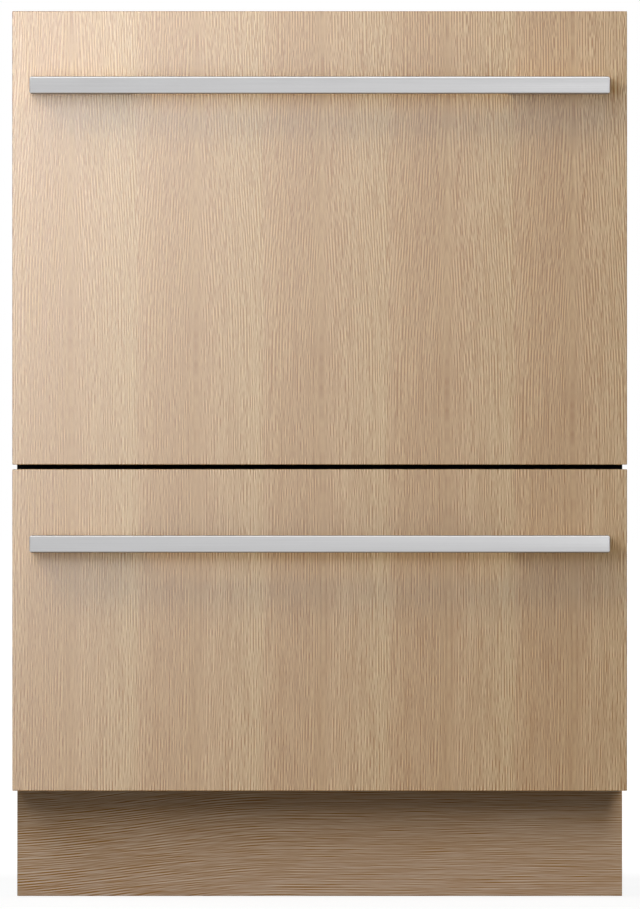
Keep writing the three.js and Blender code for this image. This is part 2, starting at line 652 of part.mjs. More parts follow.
function lidSeal(bay, height) {
  const base = height - rimDrop + zSealAboveRim;
  const ring = roundedRing(xSeal, ySeal, lidCorner, SEAL_WIDTH, [base, base + SEAL_HEIGHT]);
  return meshOf(`${bay}_lid_seal`, ring, RUBBER);
}

function lidActuator(bay, hand, side, height) {
  const slotTop = height - rimDrop + zSlotAboveRim;
  const slotHeights = [slotTop - LID_EAR_HEIGHT - LID_TRAVEL - 2 * RUNNING_GAP, slotTop];
  const body = block(
    [side * xActuator, side * xWall],
    [yArm - ACTUATOR_LENGTH / 2, yArm + ACTUATOR_LENGTH / 2],
    [slotHeights[0] - ACTUATOR_LIP, slotHeights[1] + ACTUATOR_LIP],
  );
  const slots = earPlaces.map((y) =>
    block(
      [side * (xActuator - RUNNING_GAP), side * (xActuator + LID_EAR_REACH + RUNNING_GAP)],
      [y - LID_EAR_LENGTH / 2 - RUNNING_GAP, y + LID_EAR_LENGTH / 2 + RUNNING_GAP],
      slotHeights,
    ),
  );
  return meshOf(`${bay}_${hand}_lid_actuator`, cut(body, slots), DARK_PLASTIC);
}

// ---- Basket ----
const xBasket = xTubInside - BASKET_WALL_GAP;
const yBasket = [yTubFrontInside + DISPENSER_ROOM + BASKET_WALL_GAP, yTubBackInside - BASKET_WALL_GAP];
const zBasket = zTubFloor + BASKET_LIFT;
const zTineTop = zBasket + TINE_HEIGHT;
const zFoldRod = zBasket + WIRE + CLIP_SIZE / 2;
const longPlaces = spread(-xBasket + BASKET_CORNER, xBasket - BASKET_CORNER, LONG_WIRE_PITCH);
const crossPlaces = spread(yBasket[0] + BASKET_CORNER, yBasket[1] - BASKET_CORNER, CROSS_WIRE_PITCH);
const crossStep = crossPlaces[1] - crossPlaces[0];
const tineShares = Array.from({ length: TINES_BETWEEN_WIRES }, (_, i) => (i + 0.5) / TINES_BETWEEN_WIRES);
const tinePlaces = crossPlaces
  .slice(0, -1)
  .flatMap((y) => tineShares.map((share) => y + share * crossStep));
const clipPlaces = [crossPlaces[1], crossPlaces.at(-2)];

// A square upright wire at one place in plan.
function uprightWire(size, x, y, heights) {
  return block([x - size / 2, x + size / 2], [y - size / 2, y + size / 2], heights);
}

// The opening in a round corner of the floor, between the outermost wires and the ring.
function cornerCell(sideX, sideY, heights) {
  const radius = BASKET_CORNER - RING;
  const start = Math.asin(WIRE / 2 / radius);
  const sweep = Math.PI / 2 - 2 * start;
  const arc = Array.from({ length: CORNER_STEPS + 1 }, (_, i) => start + (sweep * i) / CORNER_STEPS);
  const points = [[WIRE / 2, WIRE / 2], ...arc.map((t) => [radius * Math.cos(t), radius * Math.sin(t)])];
  const middleX = sideX * longPlaces.at(-1);
  const middleY = sideY < 0 ? crossPlaces[0] : crossPlaces.at(-1);
  const outline = points.map(([x, y]) => new THREE.Vector2(middleX + sideX * x, middleY + sideY * y));
  return raised(new THREE.Shape(outline), heights);
}

// The wires of the floor cross in one plane, so the floor is a plate with the openings cut out.
function basketFloor() {
  const plate = raised(roundedRectangle(xBasket, yBasket, BASKET_CORNER), [zBasket, zBasket + WIRE]);
  const through = [zBasket - WIRE, zBasket + 2 * WIRE];
  const between = (places, [low, high]) => {
    const starts = [low + RING, ...places.map((place) => place + WIRE / 2)];
    const ends = [...places.map((place) => place - WIRE / 2), high - RING];
    return starts.map((start, i) => [start, ends[i]]);
  };
  const sideOf = (i, count) => Number(i === count - 1) - Number(i === 0);
  const columns = between(longPlaces, [-xBasket, xBasket]);
  const rows = between(crossPlaces, yBasket);
  const cells = columns.flatMap((column, i) =>
    rows.map((row, j) => {
      const [sideX, sideY] = [sideOf(i, columns.length), sideOf(j, rows.length)];
      return sideX && sideY ? cornerCell(sideX, sideY, through) : block(column, row, through);
    }),
  );
  return cut(plate, cells);
}

function basket(bay, height) {
  const top = height - rimDrop - BASKET_TOP_GAP;
  const rim = roundedRing(xBasket, yBasket, BASKET_CORNER, RING, [top - WIRE, top]);
  const wallHeights = [zBasket + WIRE / 2, top - WIRE / 2];
  const xEdges = [-xBasket + RING / 2, xBasket - RING / 2];
  const yEdges = [yBasket[0] + RING / 2, yBasket[1] - RING / 2];
  const wallWires = [
    ...longPlaces.flatMap((x) => yEdges.map((y) => uprightWire(WIRE, x, y, wallHeights))),
    ...crossPlaces.flatMap((y) => xEdges.map((x) => uprightWire(WIRE, x, y, wallHeights))),
  ];
  const legs = [longPlaces[0], longPlaces.at(-1)].flatMap((x) =>
    [crossPlaces[0], crossPlaces.at(-1)].map((y) =>
      upright(LEG_RADIUS, [x, y], [zTubFloor + JOINT_GAP, zBasket + WIRE / 2], 6),
    ),
  );
  const tines = tinePlaces.map((y) =>
    uprightWire(TINE_WIRE, longPlaces[FIXED_ROW_WIRE], y, [zBasket + WIRE / 2, zTineTop]),
  );
  const clips = clipPlaces.map((y) =>
    block(
      [FOLD_ROW_OFFSET - CLIP_SIZE / 2, FOLD_ROW_OFFSET + CLIP_SIZE / 2],
      [y - CLIP_LENGTH / 2, y + CLIP_LENGTH / 2],
      [zBasket + WIRE / 2, zFoldRod + CLIP_SIZE / 2],
    ),
  );
  const rodBore = lying("y", FOLD_ROD_RADIUS + CLIP_BORE_GAP, yBasket, [FOLD_ROW_OFFSET, zFoldRod], 8);
  const wires = join(basketFloor(), rim, wallWires, legs, tines);
  return meshOf(`${bay}_basket`, join(wires, cut(join(clips), rodBore)), COATED_WIRE);
}

function tineRack(bay) {
  const ends = [tinePlaces[0] - 2 * WIRE, tinePlaces.at(-1) + 2 * WIRE];
  const rod = lying("y", FOLD_ROD_RADIUS, ends, [FOLD_ROW_OFFSET, zFoldRod], 8);
  const tines = tinePlaces.map((y) => uprightWire(TINE_WIRE, FOLD_ROW_OFFSET, y, [zFoldRod, zTineTop]));
  return meshOf(`${bay}_tine_rack`, join(rod, tines), COATED_WIRE);
}

// ---- Detergent dispenser ----
const yDispenserFace = yTubFrontInside + JOINT_GAP + DISPENSER_FLANGE_THICKNESS;
const xCup = [xDispenser[0] + CUP_INSET, xDispenser[0] + CUP_INSET + CUP_WIDTH];
const xFlap = [xCup[0] - FLAP_OVERLAP, xCup[1] + FLAP_OVERLAP];
const yFlapPin = yDispenserFace + JOINT_GAP + FLAP_THICKNESS / 2;
const flapPinDrop = DISPENSER_TOP_GAP + (DISPENSER_HEIGHT + CUP_HEIGHT) / 2 + FLAP_OVERLAP;

function dispenser(bay, height) {
  const rim = height - rimDrop;
  const top = rim - DISPENSER_TOP_GAP;
  const middle = top - DISPENSER_HEIGHT / 2;
  const zPin = rim - flapPinDrop;
  const body = block(
    xDispenser,
    [yDispenserFace - DISPENSER_DEPTH, yDispenserFace],
    [top - DISPENSER_HEIGHT, top],
  );
  const flange = block(
    [xDispenser[0] - DISPENSER_FLANGE, xDispenser[1] + DISPENSER_FLANGE],
    [yDispenserFace - DISPENSER_FLANGE_THICKNESS, yDispenserFace],
    [top - DISPENSER_HEIGHT - DISPENSER_FLANGE, top + DISPENSER_FLANGE],
  );
  const cap = lying(
    "y",
    CAP_RADIUS,
    [yDispenserFace - CAP_HEIGHT, yDispenserFace + CAP_HEIGHT],
    [(xFlap[1] + xDispenser[1]) / 2 + FLAP_EAR / 2, middle],
    24,
  );
  const ear = ([x0, x1]) =>
    block(
      [x0, x1],
      [yDispenserFace - DISPENSER_FLANGE_THICKNESS, yFlapPin + FLAP_EAR / 2],
      [zPin - FLAP_EAR / 2, zPin + FLAP_EAR / 2],
    );
  const ears = [
    ear([xFlap[0] - JOINT_GAP - FLAP_EAR, xFlap[0] - JOINT_GAP]),
    ear([xFlap[1] + JOINT_GAP, xFlap[1] + JOINT_GAP + FLAP_EAR]),
  ];
  const cup = block(
    xCup,
    [yDispenserFace - CUP_DEPTH, yDispenserFace + CAP_HEIGHT],
    [middle - CUP_HEIGHT / 2, middle + CUP_HEIGHT / 2],
  );
  const boreReach = [xFlap[0] - 2 * FLAP_EAR, xFlap[1] + 2 * FLAP_EAR];
  const pinBore = lying("x", FLAP_PIN_RADIUS + FLAP_PIN_GAP, boreReach, [yFlapPin, zPin]);
  return meshOf(`${bay}_dispenser`, cut(join(body, flange, cap, ears), cup, pinBore), GREY_PLASTIC);
}

function dispenserFlap(bay, height) {
  const zPin = height - rimDrop - flapPinDrop;
  const plate = block(
    xFlap,
    [yFlapPin - FLAP_THICKNESS / 2, yFlapPin + FLAP_THICKNESS / 2],
    [zPin, zPin + CUP_HEIGHT + 2 * FLAP_OVERLAP],
  );
  const barrel = lying("x", FLAP_THICKNESS / 2, xFlap, [yFlapPin, zPin]);
  const pinReach = [xFlap[0] - FLAP_EAR / 2, xFlap[1] + FLAP_EAR / 2];
  const pin = lying("x", FLAP_PIN_RADIUS, pinReach, [yFlapPin, zPin]);
  return meshOf(`${bay}_dispenser_flap`, join(plate, barrel, pin), DARK_PLASTIC);
}

// ---- One bay: a drawer, its slides and its lid ----
function drawerBay(bay, frontBottom, height) {
  const group = new THREE.Group();
  group.position.z = frontBottom;
  for (const [hand, side] of [["left", -1], ["right", 1]]) {
    group.add(...slideRails(bay, hand, side));
    group.add(lidActuator(bay, hand, side, height));
  }
  group.add(
    frontPanel(bay, height),
    handle(bay, height),
    drawerCarrier(bay, height),
    controlStrip(bay, height),
    button(`${bay}_power_button`, -1, height),
    button(`${bay}_start_button`, 1, height),
    tub(bay, height),
    washPump(bay),
    drainFilter(bay),
    sprayArm(bay),
    basket(bay, height),
    tineRack(bay),
    dispenser(bay, height),
    dispenserFlap(bay, height),
    lid(bay, height),
    lidSeal(bay, height),
  );
  return group;
}

const dishwasher = new THREE.Group();
dishwasher.add(
  sidePanel("left_side_panel", -1),
  sidePanel("right_side_panel", 1),
  topPanel(),
  rearPanel(),
  baseTray(),
  centreRail(),
  toeKick(),
  controlModule(),
  ...footPlaces.map(foot),
  drawerBay("upper", zUpperFront, UPPER_FRONT_HEIGHT),
  drawerBay("lower", zLowerFront, LOWER_FRONT_HEIGHT),
);

export default dishwasher;
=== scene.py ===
"""Looks of a built-in dishwasher with two pull-out drawers behind oak fronts.

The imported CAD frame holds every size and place. This script gives its nodes their finishes,
replaces the plain wires and mouldings with finer meshes, and adds small fasteners and trim.
Lengths are in metres, +Z is up and the drawers pull out along -Y.
"""

import logging
import math
from collections.abc import Callable, Mapping, Sequence
from dataclasses import dataclass
from enum import Enum
from functools import partial

import bmesh
import bpy
from bmesh.types import BMesh
from bpy.types import Material, Mesh, Node, NodeSocket, NodeTree, Object
from mathutils import Matrix, Vector


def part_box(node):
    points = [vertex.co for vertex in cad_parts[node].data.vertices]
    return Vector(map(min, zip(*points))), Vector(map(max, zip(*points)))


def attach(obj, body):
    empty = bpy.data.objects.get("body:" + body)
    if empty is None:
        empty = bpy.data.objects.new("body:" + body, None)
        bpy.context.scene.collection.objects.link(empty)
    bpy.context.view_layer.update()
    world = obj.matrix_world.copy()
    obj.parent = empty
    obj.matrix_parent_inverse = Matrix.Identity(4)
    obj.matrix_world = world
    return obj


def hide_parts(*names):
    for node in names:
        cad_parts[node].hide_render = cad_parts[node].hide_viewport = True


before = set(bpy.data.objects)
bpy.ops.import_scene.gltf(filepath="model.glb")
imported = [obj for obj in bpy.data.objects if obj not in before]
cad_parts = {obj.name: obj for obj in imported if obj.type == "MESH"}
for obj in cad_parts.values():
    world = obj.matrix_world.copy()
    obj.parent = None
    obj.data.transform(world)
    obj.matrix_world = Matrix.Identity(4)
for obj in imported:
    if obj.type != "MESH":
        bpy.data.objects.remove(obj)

LOG = logging.getLogger("dishwasher")
MM = 0.001

# Node types that the finishes use often.
MATH = "ShaderNodeMath"
RANGE = "ShaderNodeMapRange"
MIX = "ShaderNodeMix"
# Nearly all values of a noise lie between these two.
DIM, BRIGHT = 0.3, 0.7
ORIGIN, UP = (0, 0, 0), (0, 0, 1)

Point = Sequence[float]
Places = Sequence[tuple[Point, Point]]
Builder = Callable[[BMesh], None]
RingShape = Callable[[int, float], float]


class Bay(Enum):
    """The two drawers, by the first word of their nodes' names."""

    UPPER = "upper"
    LOWER = "lower"

    def node(self, name: str) -> str:
        """Returns the full name of one of this bay's nodes or bodies."""
        return f"{self.value}_{name}"


class Hand(Enum):
    """The two sides, seen from the front."""

    LEFT = -1
    RIGHT = 1

    @property
    def word(self) -> str:
        """The side's name in lower case."""
        return self.name.lower()


class Lie(Enum):
    """The way that a grain or a brushing runs."""

    ACROSS = 0
    DEEP = 1
    UPRIGHT = 2


# ---------------- Nodes and colours ----------------


def linear(colour: str, gain: float = 1.0) -> tuple[float, float, float, float]:
    """Turns an sRGB hex colour into a linear one.

    Args:
        colour: six hex digits, red first.
        gain: a factor on the linear colour.

    Returns:
        Linear red, green, blue and an alpha of 1.
    """
    shares = [int(colour[i : i + 2], 16) / 255 for i in (0, 2, 4)]
    parts = [c / 12.92 if c <= 0.04045 else ((c + 0.055) / 1.055) ** 2.4 for c in shares]
    return tuple(min(1.0, gain * part) for part in parts) + (1.0,)


def feed(tree: NodeTree, node: Node, inputs: Mapping) -> None:
    """Sets or links some of a node's inputs.

    Args:
        tree: the node's tree.
        node: the node.
        inputs: socket name or number to a value, or to the node or output socket that feeds it.
    """
    for socket, value in inputs.items():
        if isinstance(value, Node):
            value = next(output for output in value.outputs if output.enabled)
        if isinstance(value, NodeSocket):
            tree.links.new(value, node.inputs[socket])
        else:
            node.inputs[socket].default_value = value


def add_node(tree: NodeTree, kind: str, inputs: dict | None = None, **settings: object) -> Node:
    """Adds a node with its settings and links.

    Args:
        tree: the tree that takes the node.
        kind: the node's type name.
        inputs: what goes into it, as feed takes it.
        **settings: the node's own properties.

    Returns:
        The new node.
    """
    node = tree.nodes.new(kind)
    for name, value in settings.items():
        setattr(node, name, value)
    feed(tree, node, inputs or {})
    return node


def stretched_noise(
    tree: NodeTree, places: Sequence[object], cells: Point, detail: float = 2.0
) -> Node:
    """Makes noise whose cells have their own length along each of three coordinates.

    Args:
        tree: the shader tree.
        places: the nodes or sockets of the three coordinates, in metres.
        cells: the noise's cell along each one, in metres.
        detail: octaves of finer noise on top.

    Returns:
        The noise's node, with values around 0.5.
    """
    scaled = [
        add_node(tree, MATH, {0: place, 1: cell}, operation="DIVIDE")
        for place, cell in zip(places, cells)
    ]
    vector = add_node(tree, "ShaderNodeCombineXYZ", dict(enumerate(scaled)))
    inputs = {"Vector": vector, "Scale": 1.0, "Detail": detail, "Roughness": 0.55}
    return add_node(tree, "ShaderNodeTexNoise", inputs)


# ---------------- Finishes ----------------


@dataclass(frozen=True)
class Finish:
    """A surface, by what it is made of and how it was worked.

    Attributes:
        name: the material's name.
        slot: the record's material slot that it belongs to; nothing in the script reads it.
    """

    name: str
    slot: str

    def paint(self, tree: NodeTree, shader: Node) -> None:
        """Links this finish's patterns to the shader.

        Args:
            tree: the material's node tree.
            shader: its Principled BSDF.
        """
        raise NotImplementedError

    def material(self) -> Material:
        """Makes the finish's material the first time, and finds it afterwards.

        Returns:
            The material.
        """
        if self.name in bpy.data.materials:
            return bpy.data.materials[self.name]
        material = bpy.data.materials.new(self.name)
        material.use_nodes = True
        self.paint(material.node_tree, material.node_tree.nodes["Principled BSDF"])
        return material

    @staticmethod
    def places(tree: NodeTree) -> list[NodeSocket]:
        """Adds the object's own coordinates.

        Args:
            tree: the material's node tree.

        Returns:
            The sockets of X, Y and Z, in metres.
        """
        source = add_node(tree, "ShaderNodeTexCoord").outputs["Object"]
        return list(add_node(tree, "ShaderNodeSeparateXYZ", {0: source}).outputs)

    @staticmethod
    def raise_surface(tree: NodeTree, shader: Node, height: object, depth_mm: float) -> None:
        """Bumps the surface outwards where a height is 1.

        Args:
            tree: the material's node tree.
            shader: its Principled BSDF.
            height: the node or socket of the height, from 0 to 1.
            depth_mm: how far a height of 1 stands out, in millimetres.
        """
        inputs = {"Strength": 1.0, "Distance": depth_mm * MM, "Height": height}
        bump = add_node(tree, "ShaderNodeBump", inputs)
        feed(tree, shader, {"Normal": bump})


@dataclass(frozen=True)
class OakVeneer(Finish):
    """Crown-cut oak veneer in slip-matched leaves under a satin lacquer.

    Each leaf repeats the one beside it. Its pores are fine pale and dark lines that lean in
    towards the leaf's middle near the crown, and its first half is a little pinker and darker
    than its second, so that the joints between leaves just show.

    Attributes:
        lie: the way that the grain runs.
        tints: a leaf's colours from its first edge to its last, as share and hex pairs.
        leaf: a leaf's width.
        first_joint: where the first leaf starts, across the grain.
        face: where the board's face lies, as a depth.
        slip: how far each leaf is shifted along the grain from the one before it.
        crown: where the crown's top lies, along the grain.
        crown_reach: how far the lines lean, below the crown's top.
        crown_lift: how far the lines have shifted sideways at the crown's top.
        arch: the radius in which a line turns over at the leaf's middle.
        pitch: from one line of pores to the next, drawn coarser than the real 1 mm so that
            it shows.
        stretch: how far a line runs before it breaks off.
        contrast: how far the lines stand out from the wood.
        crown_contrast: how many times further they stand out at the crown's top.
        tone_share: how far slow changes of tone go, up and down.
        fleck_share: the same for flecks between the lines.
        most: how far all of that may go together, so that no pore is black and no line white.
        pore_depth_mm: how deep the pores show through the lacquer.
        roughness: how far the lacquer spreads the light.
        sheen: how strongly the lacquer mirrors, where 0.5 is a clear lacquer's own.
    """

    tints: tuple[tuple[float, str], ...] = ()
    lie: Lie = Lie.UPRIGHT
    leaf: float = 123.7 * MM
    first_joint: float = -302.8 * MM
    face: float = -0.266
    slip: float = 23 * MM
    crown: float = 0.89
    crown_reach: float = 0.33
    crown_lift: float = 14 * MM
    arch: float = 2 * MM
    pitch: float = 2.75 * MM
    stretch: float = 14 * MM
    contrast: float = 0.76
    crown_contrast: float = 1.9
    tone_share: float = 0.045
    fleck_share: float = 0.17
    most: float = 0.6
    pore_depth_mm: float = 0.0015
    roughness: float = 0.4
    sheen: float = 0.5

    def paint(self, tree: NodeTree, shader: Node) -> None:
        """Links the leaves' tints, the lines of pores and the lacquer to the shader.

        Args:
            tree: the material's node tree.
            shader: its Principled BSDF.
        """
        add = partial(add_node, tree)
        x, y, z = self.places(tree)
        across, along = (x, z) if self.lie is Lie.UPRIGHT else (z, x)
        # The depth is added so that the board's edges have lines too.
        across = add(MATH, {0: across, 1: y}, operation="ADD")
        start = self.first_joint + self.face
        turns = {0: across, 1: 1 / self.leaf, 2: -start / self.leaf}
        leaves = add(MATH, turns, operation="MULTIPLY_ADD")
        number = add(MATH, {0: leaves}, operation="FLOOR")
        share = add(MATH, {0: leaves}, operation="FRACT")
        middle = add(MATH, {0: share, 1: self.leaf, 2: -self.leaf / 2}, operation="MULTIPLY_ADD")
        drift = add(MATH, {0: number, 1: self.slip, 2: along}, operation="MULTIPLY_ADD")
        lines = self.pore_lines(tree, middle, drift, y)
        tones = stretched_noise(tree, (middle, drift, y), (26 * MM, 0.42, 0.4), 1.0)
        flecks = stretched_noise(tree, (middle, drift, y), (2.4 * MM, 60 * MM, 0.4), 2.0)
        slow = add(RANGE, {0: tones, 1: DIM, 2: BRIGHT, 3: -self.tone_share, 4: self.tone_share})
        fine = add(RANGE, {0: flecks, 1: DIM, 2: BRIGHT, 3: -self.fleck_share, 4: self.fleck_share})
        light = add(MATH, {0: slow, 1: fine}, operation="ADD")
        # The lines grow stronger from a little below where they start to lean.
        strongest = self.contrast * self.crown_contrast
        foot = self.crown - 1.3 * self.crown_reach
        inputs = {0: drift, 1: foot, 2: self.crown, 3: self.contrast, 4: strongest}
        light = add(MATH, {0: lines, 1: add(RANGE, inputs), 2: light}, operation="MULTIPLY_ADD")
        light = add(RANGE, {0: light, 1: -self.most, 2: self.most, 3: -self.most, 4: self.most})
        tint = add("ShaderNodeValToRGB", {0: share})
        stops = tint.color_ramp.elements
        while len(stops) < len(self.tints):
            stops.new(0.5)
        for stop, (position, colour) in zip(stops, self.tints):
            stop.position = position
            stop.color = linear(colour)
        # Pale lines are greyer than the wood and dark ones browner, so blue changes the most.
        inputs = {0: light, 1: (0.63, 1.0, 1.58), 2: (1.0, 1.0, 1.0)}
        change = add("ShaderNodeVectorMath", inputs, operation="MULTIPLY_ADD")
        wood = add("ShaderNodeVectorMath", {0: tint, 1: change}, operation="MULTIPLY")
        low, high = self.roughness - 0.03, self.roughness + 0.05
        spread = add(RANGE, {0: flecks, 1: DIM, 2: BRIGHT, 3: low, 4: high})
        looks = {"Base Color": wood, "Roughness": spread, "Specular IOR Level": self.sheen}
        feed(tree, shader, looks)
        self.raise_surface(tree, shader, lines, self.pore_depth_mm)

    def pore_lines(self, tree: NodeTree, middle: object, drift: object, deep: object) -> Node:
        """Draws the lines of pores, which break off and start again every few centimetres.

        Args:
            tree: the material's node tree.
            middle: the way from the leaf's middle.
            drift: the way along the grain.
            deep: the way into the board.

        Returns:
            The node of a value from -1 in a pore to 1 beside it.
        """
        add = partial(add_node, tree)
        sway = stretched_noise(tree, (middle, drift, deep), (50 * MM, 0.3, 0.4), 1.0)
        swayed = add(MATH, {0: sway, 1: 8 * MM, 2: middle}, operation="MULTIPLY_ADD")
        # Round the leaf's middle the lines close in arches; the crown lifts them one by one.
        square = add(MATH, {0: swayed, 1: swayed, 2: self.arch**2}, operation="MULTIPLY_ADD")
        away = add(MATH, {0: square}, operation="SQRT")
        foot = self.crown - self.crown_reach
        inputs = {0: drift, 1: foot, 2: self.crown, 3: 0.0, 4: self.crown_lift}
        lift = add(RANGE, inputs, interpolation_type="SMOOTHSTEP")
        leaning = add(MATH, {0: away, 1: lift}, operation="ADD")
        cells = (4.5 * self.pitch, 0.25, 0.4)
        uneven = stretched_noise(tree, (leaning, drift, deep), cells, 1.0)
        turn = add(MATH, {0: leaning, 1: 2 * math.pi / self.pitch}, operation="MULTIPLY")
        phase = add(MATH, {0: uneven, 1: 11.0, 2: turn}, operation="MULTIPLY_ADD")
        wave = add(MATH, {0: phase}, operation="SINE")
        cells = (1.6 * self.pitch, self.stretch, 0.4)
        breaks = stretched_noise(tree, (leaning, drift, deep), cells, 1.5)
        strength = add(RANGE, {0: breaks, 1: DIM, 2: BRIGHT, 3: -0.6, 4: 1.3})
        lines = add(MATH, {0: wave, 1: strength}, operation="MULTIPLY")
        fade = add(RANGE, {0: away, 1: self.arch, 2: 5 * self.arch, 3: 0.25, 4: 1.0})
        return add(MATH, {0: lines, 1: fade}, operation="MULTIPLY")


@dataclass(frozen=True)
class MouldedPlastic(Finish):
    """Injection-moulded plastic, whose tool left a fine even texture.

    Attributes:
        colour: the resin's colour.
        roughness: how dull it is.
        texture_mm: the texture's grain, drawn coarser than the real 0.1 mm so that it shows.
        texture_depth_mm: how deep the grain is.
        sheen: how strongly it mirrors, where 0.5 is a plastic's own.
    """

    colour: str = "2b2d30"
    roughness: float = 0.45
    texture_mm: float = 0.9
    texture_depth_mm: float = 0.02
    sheen: float = 0.5

    def paint(self, tree: NodeTree, shader: Node) -> None:
        """Links a faint mottle, rubbed patches and the tool's grain to the shader.

        Args:
            tree: the material's node tree.
            shader: its Principled BSDF.
        """
        add = partial(add_node, tree)
        places = self.places(tree)
        mottle = stretched_noise(tree, places, (0.09, 0.09, 0.09), 3.0)
        share = add(RANGE, {0: mottle, 1: DIM, 2: BRIGHT})
        inputs = {0: share, 6: linear(self.colour, 0.9), 7: linear(self.colour, 1.08)}
        colour = add(MIX, inputs, data_type="RGBA")
        rubbed = stretched_noise(tree, places, (0.03, 0.03, 0.012), 4.0)
        low, high = max(0.05, self.roughness - 0.05), self.roughness + 0.08
        dull = add(RANGE, {0: rubbed, 1: DIM, 2: BRIGHT, 3: low, 4: high})
        looks = {"Base Color": colour, "Roughness": dull, "Specular IOR Level": self.sheen}
        feed(tree, shader, looks)
        grain = stretched_noise(tree, places, (self.texture_mm * MM,) * 3, 2.0)
        self.raise_surface(tree, shader, grain, self.texture_depth_mm)


@dataclass(frozen=True)
class BrushedMetal(Finish):
    """Metal brushed or drawn one way, with hairlines along that way.

    Attributes:
        colour: the bare metal's colour.
        roughness: how far the hairlines spread the light.
        lie: the way that the hairlines run.
        hairline_mm: their spacing, drawn coarser than the real 0.05 mm so that it shows.
        depth_mm: how deep they are.
    """

    colour: str = "c6c7c8"
    roughness: float = 0.35
    lie: Lie = Lie.ACROSS
    hairline_mm: float = 0.7
    depth_mm: float = 0.003

    def paint(self, tree: NodeTree, shader: Node) -> None:
        """Links hairlines and handling marks to the shader.

        Args:
            tree: the material's node tree.
            shader: its Principled BSDF.
        """
        add = partial(add_node, tree)
        places = self.places(tree)
        cells = [0.16 if lie is self.lie else self.hairline_mm * MM for lie in Lie]
        hairlines = stretched_noise(tree, places, cells, 3.0)
        share = add(RANGE, {0: hairlines, 1: 0.32, 2: 0.68})
        inputs = {0: share, 6: linear(self.colour, 0.95), 7: linear(self.colour, 1.05)}
        colour = add(MIX, inputs, data_type="RGBA")
        marks = stretched_noise(tree, places, (0.05, 0.05, 0.05), 4.0)
        low, high = self.roughness - 0.03, self.roughness + 0.05
        spread = add(RANGE, {0: marks, 1: DIM, 2: BRIGHT, 3: low, 4: high})
        feed(tree, shader, {"Base Color": colour, "Metallic": 1.0, "Roughness": spread})
        self.raise_surface(tree, shader, hairlines, self.depth_mm)


@dataclass(frozen=True)
class GalvanisedSheet(Finish):
    """Hot-dip galvanised steel sheet, whose zinc froze in flat spangles.

    Attributes:
        colour: the zinc's colour.
        spangle_mm: a spangle's width.
        spangle_depth_mm: how far one stands above another.
    """

    colour: str = "a9adb0"
    spangle_mm: float = 9.0
    spangle_depth_mm: float = 0.01

    def paint(self, tree: NodeTree, shader: Node) -> None:
        """Links the spangles and dull patches to the shader.

        Args:
            tree: the material's node tree.
            shader: its Principled BSDF.
        """
        add = partial(add_node, tree)
        source = add("ShaderNodeTexCoord").outputs["Object"]
        inputs = {"Vector": source, "Scale": 1 / (self.spangle_mm * MM), "Randomness": 1.0}
        cells = add("ShaderNodeTexVoronoi", inputs, distance="EUCLIDEAN")
        tone = add("ShaderNodeSeparateColor", {0: cells.outputs["Color"]})
        dull = stretched_noise(tree, self.places(tree), (0.12, 0.12, 0.3), 3.0)
        deep, bright = linear(self.colour, 0.84), linear(self.colour, 1.12)
        share = add(RANGE, {0: tone, 1: 0.0, 2: 1.0, 3: 0.15, 4: 0.85})
        spangled = add(MIX, {0: share, 6: deep, 7: bright}, data_type="RGBA")
        share = add(RANGE, {0: dull, 1: 0.35, 2: 0.65, 3: 0.0, 4: 0.35})
        colour = add(MIX, {0: share, 6: spangled, 7: deep}, data_type="RGBA")
        spread = add(RANGE, {0: tone, 1: 0.0, 2: 1.0, 3: 0.38, 4: 0.55})
        feed(tree, shader, {"Base Color": colour, "Metallic": 0.85, "Roughness": spread})
        self.raise_surface(tree, shader, tone, self.spangle_depth_mm)


# The leaf's tints: a pinker, darker first half, then a greyer, paler one, brightest at its edge.
OAK = OakVeneer(
    "oak_veneer_satin_lacquer",
    "oak_veneer",
    tints=(
        (0.0, "c29964"), (0.12, "bf955d"), (0.24, "ba8f58"), (0.46, "bc925a"),
        (0.54, "c29964"), (0.74, "c49d68"), (0.95, "c8a36e"), (1.0, "c6a06a"),
    ),
)
# The toe kick's oak lies across. Its darker tints are partly a darker stain and partly painted
# shade for the recess under the fronts. Its lines are coarser and stand out more.
OAK_TOE = OakVeneer(
    "oak_veneer_toe_kick",
    "oak_toe_kick",
    lie=Lie.ACROSS,
    tints=((0.0, "957b5e"), (0.3, "997e62"), (0.6, "9d846b"), (1.0, "957b5e")),
    leaf=240 * MM,
    first_joint=-70 * MM,
    crown=-0.33,
    crown_reach=-0.30,
    crown_lift=26 * MM,
    pitch=2.4 * MM,
    stretch=34 * MM,
    contrast=0.44,
    roughness=0.55,
    sheen=0.15,
)
# Extruded aluminium, brushed along the bar and clear anodised: a soft grey with long hairlines.
ALUMINIUM = BrushedMetal("brushed_anodised_aluminium", "brushed_aluminium", colour="bbbbbc")
# Cold-rolled steel with bright zinc plating: smoother and bluer than galvanised sheet.
ZINC = BrushedMetal(
    "zinc_plated_steel", "zinc_rail", colour="b3b7bb", roughness=0.3, lie=Lie.DEEP, hairline_mm=1.2
)
# Stainless steel brushed along the button, as bright as the handle.
BUTTON_STEEL = BrushedMetal(
    "brushed_stainless_button", "button_metal", colour="bfc0c2", roughness=0.28
)
# Turned stainless screws: brighter than what they hold.
SCREW_STEEL = BrushedMetal(
    "stainless_screw_steel", "zinc_rail", colour="c4c6c8", roughness=0.25, lie=Lie.UPRIGHT
)
# Galvanised sheet: a cool grey, broken up by spangles.
SHEET = GalvanisedSheet("galvanised_sheet_steel", "galvanised_sheet")
# Matt powder coat over steel: nearly black, partly the rail's own coat and partly painted shade, so
# that the gap between the fronts stays dark.
BLACK_COAT_GAP_SHADE = MouldedPlastic(
    "black_powder_coat", "black_enamel", colour="050505", roughness=0.8, texture_mm=1.4, sheen=0.08
)
# Textured black ABS: a soft black that hides marks.
BLACK_ABS = MouldedPlastic("black_abs_housing", "moulded_black", colour="26282a", roughness=0.5)
